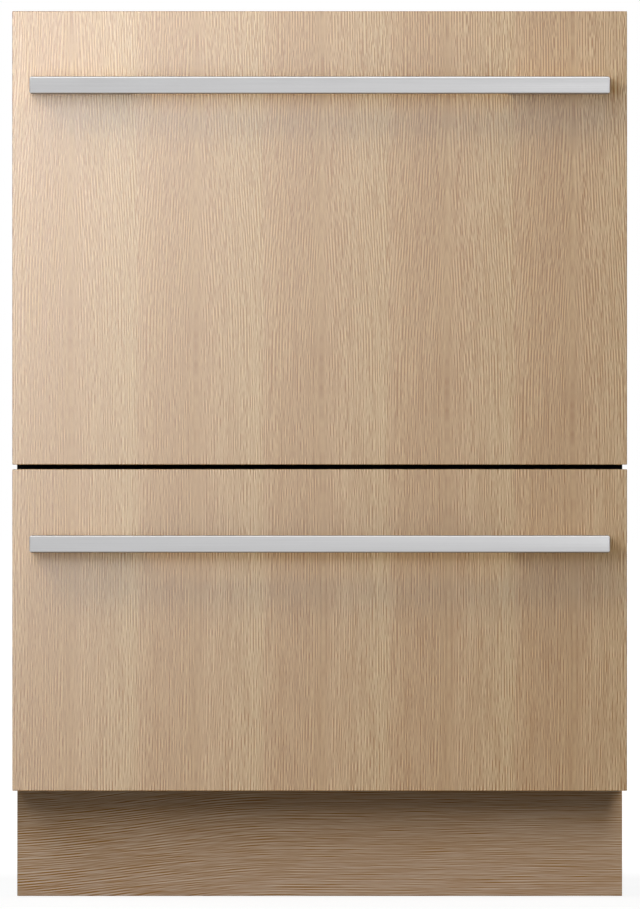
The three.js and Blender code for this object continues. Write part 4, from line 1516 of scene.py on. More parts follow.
@dataclass
class Feet(Assembly):
    """The four levelling feet.

    Attributes:
        pad_mm: the pad's radius and height.
        stem_mm: the stem's radius, inside its thread, and height.
        thread_mm: the thread's pitch, drawn coarser than the real 1.5 mm, and depth.
        knurls: ribs round the pad.
    """

    pad_mm: tuple[float, float] = (18.0, 8.0)
    stem_mm: tuple[float, float] = (4.3, 72.0)
    thread_mm: tuple[float, float] = (2.0, 0.7)
    knurls: int = 24

    def build(self) -> None:
        """Turns each foot where its CAD node stands."""
        for name in ("front_left_foot", "front_right_foot", "rear_left_foot", "rear_right_foot"):
            low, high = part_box(name)
            base = ((low.x + high.x) / 2, (low.y + high.y) / 2, low.z)
            self.make(name + "_turned", self.foot(base), name, BLACK_ABS, (name,))

    def foot(self, base: Point) -> Builder:
        """Describes one foot.

        Args:
            base: the middle of the pad's underside.

        Returns:
            What fills its mesh.
        """
        pad, thick = self.pad_mm
        stem, height = self.stem_mm
        pitch, depth = self.thread_mm
        profile = [(0.0, 0.6), (pad - 3.0, 0.6), (pad - 2.4, 0.0), (pad - 0.8, 0.0), (pad, 0.9),
                   (pad, 0.45 * thick), (pad - 0.8, 0.55 * thick), (0.76 * pad, 0.6 * thick),
                   (0.76 * pad, thick - 0.8), (0.76 * pad - 0.8, thick), (stem, thick)]
        z = thick + 1.0
        while z < height - 3.0:
            profile += [(stem, z), (stem + depth, z + 0.35 * pitch)]
            profile += [(stem + depth, z + 0.5 * pitch), (stem, z + 0.85 * pitch)]
            z += pitch
        profile += [(stem, height - 1.2), (stem - 1.2, height), (0.0, height)]
        flats = six_sided(7, 8, 9)

        def round_or_not(number: int, angle: float) -> float:
            """Knurls the pad's rim and makes the wrench flats.

            Args:
                number: which ring of the profile it is.
                angle: where on the ring.

            Returns:
                A factor on the ring's radius.
            """
            if number in (4, 5):
                return 1.0 - 0.022 * (1 + math.cos(self.knurls * angle)) / 2
            return min(1.0, flats(number, angle) * 1.06)

        return of_turned(profile, [(base, UP)], 96, round_or_not)


@dataclass
class DrawerFront(BayAssembly):
    """What the user sees and holds of one drawer: its front, handle, controls and carrier.

    Attributes:
        arris_mm: the veneered board's eased edge.
        handle_edge_mm: the handle's chamfer.
        touch_marks: how many marks lie along the control strip.
        marks: from where to where they lie, across.
        display: the same for the display's window.
        bars: how far to each side the buttons' bars are.
    """

    arris_mm: float = 0.7
    handle_edge_mm: float = 1.6
    touch_marks: int = 6
    marks: tuple[float, float] = (-0.15, 0.07)
    display: tuple[float, float] = (0.105, 0.175)
    bars: float = 0.222

    def build(self) -> None:
        """Dresses the front's nodes and prints the control strip."""
        node = self.node
        self.dress(node("front_panel"), OAK, self.arris_mm)
        self.dress(node("handle"), ALUMINIUM, self.handle_edge_mm, 1)
        self.dress(node("drawer_carrier"), CARRIER, 0.8)
        self.dress(node("control_strip"), GLOSS_BLACK, 0.3)
        self.dress(node("power_button"), BUTTON_STEEL, 0.8, 3)
        self.dress(node("start_button"), BUTTON_STEEL, 0.8, 3)
        self.controls()
        self.carrier_ribs()

    def controls(self) -> None:
        """Prints touch rings, bars and a display on the strip, with a lamp by each mark."""
        body = self.node("drawer")
        low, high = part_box(self.node("control_strip"))
        middle_y, top = (low.y + high.y) / 2, high.z
        rings, lamps = [], []
        for x in spaced(*self.marks, self.touch_marks):
            rings.append(((x, middle_y + 1 * MM, top), UP))
            lamps.append(((x, middle_y - 6.2 * MM, top), UP))
        self.copies(self.node("touch_rings"), self.ring_mark, rings, body, PRINT)
        # Each lens is a dome, 2 mm wide.
        dome = [(0, 0.35), (0.5, 0.3), (0.85, 0.12), (1.0, 0.0), (1.0, -0.2), (0, -0.2)]
        lens = of_turned(dome, steps=20)
        self.copies(self.node("indicator_lamps"), lens, lamps, body, LAMP_LENS)
        # The display's window stands slightly proud of the strip.
        corner = (self.display[0], middle_y - 7 * MM, top - 0.3 * MM)
        other = (self.display[1], middle_y + 7 * MM, top + 0.25 * MM)
        window = of_blocks([(corner, other, 0.2 * MM)])
        self.make(self.node("display_window"), window, body, DISPLAY)
        bars = []
        for x in (-self.bars, self.bars):
            corner = (x - 2 * MM, middle_y - 4 * MM, top - 0.2 * MM)
            other = (x + 2 * MM, middle_y + 4 * MM, top + 0.05 * MM)
            bars.append((corner, other, 0.02 * MM))
        self.make(self.node("button_bars"), of_blocks(bars, 1), body, PRINT)

    @staticmethod
    def ring_mark(bm: BMesh) -> None:
        """Fills a mesh with a printed ring with a dot in it, 8 mm wide.

        Args:
            bm: the mesh.
        """
        for outer, inner in ((4.0, 3.5), (1.1, 0.0)):
            profile = [(inner, 0.05), (outer, 0.05), (outer, -0.1), (inner, -0.1)]
            if inner:
                profile.append(profile[0])
            add_turned(bm, in_metres(profile), ORIGIN, steps=40)

    def carrier_ribs(self) -> None:
        """Stiffens the carrier's hollow with a lattice of ribs and screws the front to it."""
        low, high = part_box(self.node("drawer_carrier"))
        tub_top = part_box(self.node("tub"))[1].z
        floor, top = low.z + 5 * MM, tub_top - 7 * MM
        face, back = low.y + 2.5 * MM, high.y - 5 * MM
        ribs = [
            ((x - 1 * MM, face, floor), (x + 1 * MM, back, top), 0.6 * MM)
            for x in spaced(low.x + 0.05, high.x - 0.05, 9)
        ]
        ribs += [
            ((low.x + 4 * MM, face, z - 1 * MM), (high.x - 4 * MM, back, z + 1 * MM), 0.6 * MM)
            for z in spaced(floor + 0.04, top - 0.04, 5)
        ]
        body = self.node("drawer")
        self.make(self.node("carrier_ribs"), of_blocks(ribs), body, CARRIER)
        places = [
            ((x, back - 2 * MM, z), (0, 1, 0))
            for x in (low.x + 0.03, high.x - 0.03)
            for z in spaced(floor + 0.015, top - 0.015, 3)
        ]
        self.copies(self.node("front_screws"), SCREW_HEAD, places, body, SCREW_STEEL)


@dataclass
class Slides(BayAssembly):
    """The telescopic slides and the lid's actuators of one bay.

    Attributes:
        ball_mm: the balls' radius.
        balls: how many run in each row of a cage.
        cage_reach: from where to where a cage reaches, behind the drawer rail's front end.
    """

    ball_mm: float = 2.4
    balls: int = 14
    cage_reach: tuple[float, float] = (0.05, 0.36)

    def build(self) -> None:
        """Dresses the rails and the actuators and adds the ball cages."""
        for hand in Hand:
            for stage in ("cabinet", "middle", "drawer"):
                self.dress(self.node(f"{hand.word}_{stage}_rail"), ZINC, 0.4)
            self.dress(self.node(f"{hand.word}_lid_actuator"), BLACK_ABS, 0.8)
            self.cage(hand)

    def cage(self, hand: Hand) -> None:
        """Puts a cage with two rows of balls into one slide's middle rail.

        Args:
            hand: the slide's side.
        """
        low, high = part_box(self.node(f"{hand.word}_drawer_rail"))
        x = (low.x + high.x) / 2 + hand.value * 1.2 * MM
        middle, half = (low.z + high.z) / 2, (high.z - low.z) / 2
        row = half - 1.5 * MM - self.ball_mm * MM - 0.3 * MM
        start, end = (low.y + reach for reach in self.cage_reach)
        body = self.node("middle_rails")
        edge, half_thick = row + 1 * MM, 0.4 * MM
        corner = (x - half_thick, start, middle - edge)
        strip = of_blocks([(corner, (x + half_thick, end, middle + edge), 0.2 * MM)])
        self.make(self.node(f"{hand.word}_ball_cage"), strip, body, CARRIER)

        def ball(bm: BMesh) -> None:
            """Fills the mesh with one ball."""
            bmesh.ops.create_icosphere(bm, subdivisions=3, radius=self.ball_mm * MM)

        places = [
            ((x, y, middle + side * row), UP)
            for side in (-1, 1)
            for y in spaced(start + 8 * MM, end - 8 * MM, self.balls)
        ]
        self.copies(self.node(f"{hand.word}_slide_balls"), ball, places, body, SCREW_STEEL)


# Where the spray arm's spigot and the sump come through a tub's floor.
SPIGOT = (0.0, 19 * MM)
SUMP = (0.0, 137 * MM)


@dataclass
class Tub(BayAssembly):
    """The wash tub of one drawer, moulded in one piece, with its lid above it.

    Attributes:
        wall: the walls' thickness.
        floor: the floor's thickness.
        corner: the outside radius of its corners in plan.
        flange: how far the rim's flange stands out.
        fillet: the inside radius between the walls and the floor.
        bracket_mm: the slide brackets' height and how far they stop short of the back.
        bracket_out_mm: how far the brackets stand out from the wall.
        webs: how many webs stiffen each bracket.
        hole_mm: the radii of the holes for the spigot and the sump.
        collar_mm: the inner and outer radii of the collars round them.
        floor_ribs: how many ribs would lead outwards if all had room.
        pump_ribs: how many ribs would stand round the motor if none were left out.
    """

    wall: float = 3 * MM
    floor: float = 4 * MM
    corner: float = 42 * MM
    flange: float = 7.7 * MM
    fillet: float = 18 * MM
    bracket_mm: tuple[float, float] = (26.0, 42.0)
    bracket_out_mm: float = 14.0
    webs: int = 8
    hole_mm: tuple[float, float] = (12.8, 36.8)
    collar_mm: tuple[tuple[float, float], ...] = ((13.5, 22.0), (47.0, 53.0))
    floor_ribs: int = 12
    pump_ribs: int = 36

    def build(self) -> None:
        """Moulds the tub and dresses the pump, the lid and the seal."""
        node = self.node
        self.shell()
        self.dress(node("wash_pump"), BLACK_ABS, 1.2)
        self.pump_trim()
        self.lid()
        self.dress(node("lid_seal"), RUBBER, 1.6, 3)

    def loop(self, out: float, height: float) -> list[Vector]:
        """Goes round the tub at a height.

        Args:
            out: how far outside the outer wall.
            height: the height.

        Returns:
            The loop's points.
        """
        low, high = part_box(self.node("tub"))
        half = high.x - self.bracket_out_mm * MM
        front, back = low.y + self.flange, high.y - self.flange
        return rounded_loop(half + out, front - out, back + out, self.corner + out, height, 12)

    def shell(self) -> None:
        """Moulds the tub's shell with its rim and floor, and pierces it."""
        low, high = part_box(self.node("tub"))
        outer = arc((-10 * MM, 10 * MM), 10 * MM, 1.5)
        inner = arc((-self.wall - self.fillet, self.floor + self.fillet), self.fillet, 0.0, 7, -0.5)
        # The rim turns out into the flange, whose edge is rolled down a little.
        edge = self.flange / MM
        rim = [(0.0, -3.2), (0.6, -2.8), (edge - 0.8, -2.8), (edge - 0.8, -3.0), (edge - 0.2, -3.0),
               (edge, -2.5), (edge, -0.6), (edge - 0.6, 0.0), (2.0, 0.0), (1.2, -0.4),
               (-1.6, -0.4), (-2.6, -0.9), (-3.0, -1.8)]
        # A bead runs round the inside, a hand's breadth under the rim.
        bead = [(-3.0, -56.0), (-3.8, -57.4), (-3.8, -60.6), (-3.0, -62.0)]
        loops = [self.loop(out, low.z + up) for out, up in outer]
        loops += [self.loop(out * MM, high.z + up * MM) for out, up in rim + bead]
        loops += [self.loop(out, low.z + up) for out, up in inner]
        mesh = mesh_of("tub_moulded", partial(add_shell, loops=loops))
        piece = put_in_scene(self.node("tub_moulded"), mesh)
        combine(piece, self.piercings(), "DIFFERENCE")
        shade(piece, 35)
        self.place(settle(piece), self.node("drawer"), TUB, (self.node("tub"),))
        self.brackets()
        self.floor_relief(low.z + self.floor)

    def piercings(self) -> tuple[Builder, Builder]:
        """Describes what is cut out of the shell.

        Returns:
            What fills the meshes of the floor's plugs and of the dispenser's window.
        """
        low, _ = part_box(self.node("tub"))
        window_low, window_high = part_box(self.node("dispenser"))
        inset = Vector((5.2 * MM, 0, 5.2 * MM))
        front = low.y + self.flange

        def holes(bm: BMesh) -> None:
            """Fills the mesh with plugs for the spray arm's spigot and the sump.

            Args:
                bm: the mesh.
            """
            dish = 1.6 * MM
            for (x, y), radius_mm in zip((SPIGOT, SUMP), self.hole_mm):
                radius = radius_mm * MM
                profile = [(0, -0.02), (radius, -0.02), (radius, self.floor - dish),
                           (radius + dish, self.floor + 0.1 * MM), (radius + dish, 0.012),
                           (0, 0.012)]
                add_turned(bm, profile, (x, y, low.z), steps=48)

        near, far = window_low + inset, window_high - inset
        near.y, far.y = front - 2 * self.wall, front + 3 * self.wall
        return holes, of_blocks([(tuple(near), tuple(far), 2 * MM)])

    def brackets(self) -> None:
        """Moulds the brackets that the slides are screwed to, with webs up the walls."""
        _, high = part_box(self.node("tub"))
        rail_low, rail_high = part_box(self.node("left_drawer_rail"))
        tall, short = self.bracket_mm
        half = high.x - self.bracket_out_mm * MM
        back = high.y - self.flange
        middle = (rail_low.z + rail_high.z) / 2
        foot, head = middle - tall / 2 * MM, middle + tall / 2 * MM
        blocks = []
        for side in (-1, 1):
            ends = sorted((side * (half - 1.5 * MM), side * high.x))
            other = (ends[1], back - short * MM, head)
            blocks.append(((ends[0], rail_low.y, foot), other, 1.5 * MM))
            ends = sorted((side * (half - 1.5 * MM), side * (half + 6 * MM)))
            for y in spaced(rail_low.y + 0.03, back - 0.07, self.webs):
                corner = (ends[0], y - 1.2 * MM, head - 1 * MM)
                blocks.append((corner, (ends[1], y + 1.2 * MM, head + 14 * MM), 0.6 * MM))
        self.make(self.node("slide_brackets"), of_blocks(blocks), self.node("drawer"), TUB)

    def floor_relief(self, rise: float) -> None:
        """Raises collars round the spigot and the sump, and ribs that lead outwards.

        Args:
            rise: the height of the floor's top.
        """
        # How far the ribs may reach aside, behind, before the hub and at all, then where they
        # begin, beside the hub or past the sump, and how far they stay off those limits.
        aside, behind, before, longest = 0.235, 0.20, 0.205, 0.23
        hub, past_sump, clear = 0.030, 0.178, 0.012

        def relief(bm: BMesh) -> None:
            """Fills the mesh with the collars and the ribs.

            Args:
                bm: the mesh.
            """
            for (x, y), (inner, outer) in zip((SPIGOT, SUMP), self.collar_mm):
                ring = [(inner, -0.5), (inner, 0.8), (inner + 0.8, 1.6), (outer - 2.5, 1.6),
                        (outer, -0.5), (inner, -0.5)]
                add_turned(bm, in_metres(ring), (x, y, rise), steps=64)
            for number in range(self.floor_ribs):
                angle = math.pi * (number + 0.5) / (self.floor_ribs / 2)
                # A rib ends before the walls; those that pass the sump start behind it.
                reach_x = aside / abs(math.cos(angle))
                reach_y = (behind if angle < math.pi else before) / abs(math.sin(angle))
                begin = past_sump if 0.3 < angle / math.pi < 0.7 else hub
                end = min(reach_x, reach_y, longest) - clear
                if end - begin > 0.01:
                    corner, other = (begin, -2 * MM, -0.8 * MM), (end, 2 * MM, 1.1 * MM)
                    add_spoke(bm, corner, other, 0.9 * MM, (*SPIGOT, rise), angle)

        self.make(self.node("tub_floor_relief"), relief, self.node("drawer"), TUB)

    def pump_trim(self) -> None:
        """Adds cooling ribs round the motor, and a cable socket."""
        low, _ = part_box(self.node("wash_pump"))
        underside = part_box(self.node("tub"))[0].z - 0.3 * MM

        def trim(bm: BMesh) -> None:
            """Fills the mesh with ribs round the motor and a socket.

            Args:
                bm: the mesh.
            """
            sump_half_angle = 0.75
            for number in range(self.pump_ribs):
                angle = 2 * math.pi * number / self.pump_ribs
                # The sump joins the motor on this side.
                if abs(angle - math.pi / 2) < sump_half_angle:
                    continue
                corner = (86.5 * MM, -1 * MM, low.z + 4 * MM)
                other = (89.5 * MM, 1 * MM, underside - 5 * MM)
                add_spoke(bm, corner, other, 0.5 * MM, (*SPIGOT, 0), angle)
            corner = (-110 * MM, SPIGOT[1] - 12 * MM, low.z + 8 * MM)
            add_block(bm, corner, (-85 * MM, SPIGOT[1] + 12 * MM, low.z + 24 * MM), 1.2 * MM)

        self.make(self.node("pump_trim"), trim, self.node("drawer"), BLACK_ABS)

    def lid(self) -> None:
        """Dresses the lid and stiffens it with a lattice inside its rim."""
        self.dress(self.node("lid"), LID, 0.9)
        low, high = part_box(self.node("lid"))
        seal_low, seal_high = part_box(self.node("lid_seal"))
        base, top = low.z + 2.6 * MM, high.z - 3 * MM
        left, right = seal_low.x + 5.5 * MM, seal_high.x - 5.5 * MM
        ribs = []
        for x in spaced(left + 0.06, right - 0.06, 6):
            corner = (x - 1 * MM, low.y + 5.5 * MM, base)
            ribs.append((corner, (x + 1 * MM, high.y - 5.5 * MM, top), 0.6 * MM))
        for y in spaced(low.y + 0.06, high.y - 0.06, 5):
            ribs.append(((left, y - 1 * MM, base), (right, y + 1 * MM, top), 0.6 * MM))
        self.make(self.node("lid_lattice"), of_blocks(ribs), self.node("lid"), LID)


@dataclass
class Racking(BayAssembly):
    """The wire basket of one drawer, with its fixed and folding rows of tines.

    Attributes:
        wire: the radius of the floor's and walls' wires.
        ring: the radius of the top ring's wire.
        bend: the radius at which the wires turn up.
        corner: the outside radius of the basket's corners in plan.
        lift: the basket's floor above its feet.
        long_wires: how many run front to back.
        cross_wires: how many run left to right.
        tines: how many stand in a row.
        fixed_row: where the fixed row stands, across.
        clips: where the folding row's two clips are, as depths.
    """

    wire: float = 1.6 * MM
    ring: float = 2.6 * MM
    bend: float = 14 * MM
    corner: float = 34 * MM
    lift: float = 43.7 * MM
    long_wires: int = 19
    cross_wires: int = 16
    tines: int = 20
    fixed_row: float = -75 * MM
    clips: tuple[float, float] = (-90.6 * MM, 132.6 * MM)

    def build(self) -> None:
        """Bends the basket's wires, plants the tines and turns the feet."""
        low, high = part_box(self.node("basket"))
        inset = 3 * MM
        left, right = low.x + inset, high.x - inset
        front, back = low.y + inset, high.y - inset
        floor = low.z + self.lift + self.wire
        top = high.z - self.ring
        xs = spaced(low.x + self.corner, high.x - self.corner, self.long_wires)
        ys = spaced(low.y + self.corner, high.y - self.corner, self.cross_wires)
        upper = floor + 1.9 * self.wire
        paths = [
            [(x, front, top), (x, front, floor), (x, back, floor), (x, back, top)] for x in xs
        ]
        paths += [
            [(left, y, top), (left, y, upper), (right, y, upper), (right, y, top)] for y in ys
        ]
        body = self.node("drawer")
        name = self.node("basket")
        self.wires(name + "_wires", paths, body, NYLON, self.wire, self.bend, (name,))
        reach = self.corner - inset
        rings = [self.ring_path(left, right, front, back, top)]
        self.wires(self.node("basket_top_ring"), rings, body, NYLON, self.ring, reach)
        side = inset + self.wire + 1.8 * MM
        waist = (floor + top) / 2 + 6 * MM
        inner = [self.ring_path(low.x + side, high.x - side, low.y + side, high.y - side, waist)]
        reach = self.corner - side
        self.wires(self.node("basket_waist_ring"), inner, body, NYLON, 2 * MM, reach)
        self.feet(low, xs, ys, floor, body)
        self.rows(xs, ys, floor, body)

    @staticmethod
    def ring_path(
        left: float, right: float, front: float, back: float, height: float
    ) -> list[Point]:
        """Goes round a rectangle and back to where it starts, half way along its front.

        Args:
            left: its lowest X.
            right: its highest X.
            front: its lowest Y.
            back: its highest Y.
            height: its Z.

        Returns:
            The corners, the first one again at the end.
        """
        start = ((left + right) / 2, front, height)
        return [start, (right, front, height), (right, back, height), (left, back, height),
                (left, front, height), start]

    def feet(
        self, low: Point, xs: Sequence[float], ys: Sequence[float], floor: float, body: str
    ) -> None:
        """Turns the basket's four feet.

        Args:
            low: the basket's lowest corner.
            xs: the front-to-back wires' places.
            ys: the left-to-right wires' places.
            floor: the height of the floor's lower wires.
            body: the CAD body that the feet ride on.
        """
        tall = floor - low.z
        pad, waist, narrow = 6.0 * MM, 4.4 * MM, 4.2 * MM
        profile = [(0.0, 0.0), (narrow, 0.0), (pad, 1.6 * MM), (pad, 5 * MM), (waist, 8 * MM),
                   (narrow, tall - 9 * MM), (pad, tall - 6 * MM), (pad, tall + 3 * MM),
                   (4.5 * MM, tall + 4.5 * MM), (0.0, tall + 4.5 * MM)]

        def foot(bm: BMesh) -> None:
            """Fills the mesh with the feet.

            Args:
                bm: the mesh.
            """
            for x in (xs[0], xs[-1]):
                for y in (ys[0], ys[-1]):
                    add_turned(bm, profile, (x, y, low.z), steps=28)

        self.make(self.node("basket_feet"), foot, body, CARRIER)

    def rows(self, xs: Sequence[float], ys: Sequence[float], floor: float, body: str) -> None:
        """Plants the fixed row of tines, and the folding row on its rod and clips.

        Args:
            xs: the front-to-back wires' places; not used.
            ys: the left-to-right wires' places.
            floor: the height of the floor's lower wires.
            body: the CAD body that the fixed row rides on.
        """
        low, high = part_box(self.node("tine_rack"))
        pitch = (ys[-1] - ys[0]) / self.tines
        places = [ys[0] + pitch * (i + 0.5) for i in range(self.tines)]
        tall = high.z - floor
        radius = 1.5 * MM

        def tine(bm: BMesh) -> None:
            """Fills the mesh with one tine, which has a round tip."""
            tip = arc((0, tall - radius), radius, 0.0, 5)
            add_turned(bm, [(0, 0), (radius, 0), *tip[:-1], (0, tall)], ORIGIN, steps=14)

        fixed = [((self.fixed_row, y, floor), UP) for y in places]
        self.copies(self.node("fixed_tines"), tine, fixed, body, NYLON)
        rack = self.node("tine_rack")
        rod_z = low.z + 2 * MM
        rod_x = low.x + 2 * MM
        # Each folding tine starts in the rod, so it is that much shorter.
        share = (high.z - rod_z) / tall
        folding = [((rod_x, y, rod_z), UP) for y in places]
        rod = [[(rod_x, low.y, rod_z), (rod_x, high.y, rod_z)]]
        self.wires(self.node("tine_rod"), rod, rack, NYLON, 2 * MM, 1 * MM, (rack,))
        self.copies(self.node("folding_tines"), tine, folding, rack, NYLON, share)
        rail_z = high.z - 14 * MM
        rail = [[(rod_x, places[0], rail_z), (rod_x, places[-1], rail_z)]]
        self.wires(self.node("tine_stay"), rail, rack, NYLON, 1.2 * MM, 1 * MM)

        # Each of the two clips has its bore open upwards.
        bore, half_deep = 2.4 * MM, 3.5 * MM
        base = floor - 0.6 * self.wire
        clips = []
        for y in self.clips:
            for side in (-1, 1):
                ends = sorted((rod_x + side * bore, rod_x + side * 6 * MM))
                other = (ends[1], y + half_deep, rod_z + 5.2 * MM)
                clips.append(((ends[0], y - half_deep, base), other, 1.0 * MM))
            other = (rod_x + 6 * MM, y + half_deep, rod_z - bore)
            clips.append(((rod_x - 6 * MM, y - half_deep, base), other, 1.0 * MM))
        self.make(self.node("tine_clips"), of_blocks(clips), body, CARRIER)


@dataclass
class WashParts(BayAssembly):
    """The spray arm, the filter and the detergent dispenser of one drawer.

    Attributes:
        arm_reach: half the spray arm's length.
        jets: from where to where each half's jets lie, from the hub.
        leans: the way that each jet leans, from the hub outwards.
        rings: how many rings of holes the filter has.
    """

    arm_reach: float = 0.208
    jets: tuple[float, float] = (0.055, 0.196)
    leans: tuple[int, ...] = (-1, -1, 1, 1, -1)
    rings: int = 5

    def build(self) -> None:
        """Dresses each part and adds what is too small for the CAD."""
        self.arm()
        self.filter()
        self.dispenser()

    def arm(self) -> None:
        """Dresses the spray arm and adds its hub cap and jets."""
        body = self.node("spray_arm")
        self.dress(body, SPRAY, 3.2, 4)
        low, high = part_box(body)
        centre = ((low.x + high.x) / 2, (low.y + high.y) / 2)
        bottom = low.z
        # The hub's six-sided cap is hollow over the spigot.
        inner, outer = 14.5, 19.0
        profile = [(inner, 20.0), (outer, 20.0), (outer, 22.4), (16.4, 24.0), (inner, 24.0)]
        sunk = [(radius, height - 0.3) for radius, height in [*profile, profile[0]]]
        cap = of_turned(sunk, [((*centre, bottom), UP)], 48, six_sided(1, 2, 3))
        self.make(self.node("spray_arm_cap"), cap, body, CARRIER)
        places = []
        for side in (-1, 1):
            for x, way in zip(spaced(*self.jets, len(self.leans)), self.leans):
                lean = 0.35 * way
                # The row of jets starts beside the arm's middle line and meets it at the tip.
                deep = centre[1] - side * 6 * MM * (1 - x / self.arm_reach)
                spot = (centre[0] + side * x, deep, bottom + 15.7 * MM)
                places.append((spot, (side * lean * 0.4, side * lean, 1)))

        # A jet is a raised collar round a sunk slot.
        jet = of_turned(
            [(1.2, -0.9), (1.4, 0.9), (2.2, 1.3), (3.4, 0.9), (4.4, 0.0), (4.4, -0.9), (1.2, -0.9)]
        )
        self.copies(self.node("spray_jets"), jet, places, body, CARRIER)

    def filter(self) -> None:
        """Dresses the filter and sets rings of black rimmed discs on its plate, which paint the
        shade of holes.
        """
        body = self.node("drain_filter")
        self.dress(body, FILTER, 0.5)
        low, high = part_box(body)
        centre = ((low.x + high.x) / 2, (low.y + high.y) / 2)
        plate = high.z - 5 * MM
        places = []
        for ring in range(self.rings):
            radius = (12 + 5.2 * ring) * MM
            count = 10 + 5 * ring
            for i in range(count):
                angle = 2 * math.pi * (i + 0.5 * ring) / count
                across, deep = radius * math.cos(angle), radius * math.sin(angle)
                # None lies under the grip bar.
                if abs(deep) > 5 * MM:
                    places.append(((centre[0] + across, centre[1] + deep, plate), UP))

        # A small hole's rim and its dark floor: a black disc that paints the hole's shade.
        profile = [(0, 0.06), (0.95, 0.06), (1.0, 0.3), (1.35, 0.3), (1.6, -0.1), (0, -0.1)]
        hole = of_turned(profile, steps=14)
        self.copies(self.node("filter_holes"), hole, places, body, BLACK_ABS)

    def dispenser(self) -> None:
        """Dresses the dispenser and adds the rinse-aid cap and the flap's grip."""
        node = self.node
        self.dress(node("dispenser"), DISPENSER, 0.7)
        self.dress(node("dispenser_flap"), FLAP, 0.6)
        low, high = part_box(node("dispenser"))
        flap_low, flap_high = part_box(node("dispenser_flap"))
        middle = (low.z + high.z) / 2
        # The cap lies between the flap and the dispenser's edge.
        cap_x = (flap_high.x + 2.5 * MM + high.x - 6 * MM) / 2 - 1.2 * MM
        face = flap_low.y - 0.3 * MM

        def knob(bm: BMesh) -> None:
            """Fills the mesh with the rinse-aid cap's ribbed rim and its grip bar.

            Args:
                bm: the mesh.
            """
            profile = [(0, 2.6), (12.5, 2.6), (13.2, 3.2), (17.4, 3.4), (18.4, 2.8), (18.8, 0.2),
                       (0, 0.2)]

            def ribs(number: int, angle: float) -> float:
                """Ribs the rim, as a factor on the radius."""
                return 1.0 - 0.018 * (1 + math.cos(30 * angle)) / 2 if number in (3, 4, 5) else 1.0

            points = in_metres(profile)
            add_turned(bm, points, (cap_x, face, middle), (0, 1, 0), 120, ribs)
            corner = (cap_x - 10.5 * MM, face + 1 * MM, middle - 2 * MM)
            add_block(bm, corner, (cap_x + 10.5 * MM, face + 6 * MM, middle + 2 * MM), 1.2 * MM, 3)

        self.make(node("rinse_aid_cap"), knob, node("drawer"), CARRIER)

        # The flap's grip is a rib near its top.
        grip = flap_high.z - 4 * MM
        x = (flap_low.x + flap_high.x) / 2
        corner = (x - 14 * MM, flap_high.y - 0.6 * MM, grip - 5 * MM)
        rib = of_blocks([(corner, (x + 14 * MM, flap_high.y + 1.5 * MM, grip), 0.8 * MM)], 3)
        self.make(node("flap_grip"), rib, node("dispenser_flap"), FLAP)


# ---------------- Stage ----------------


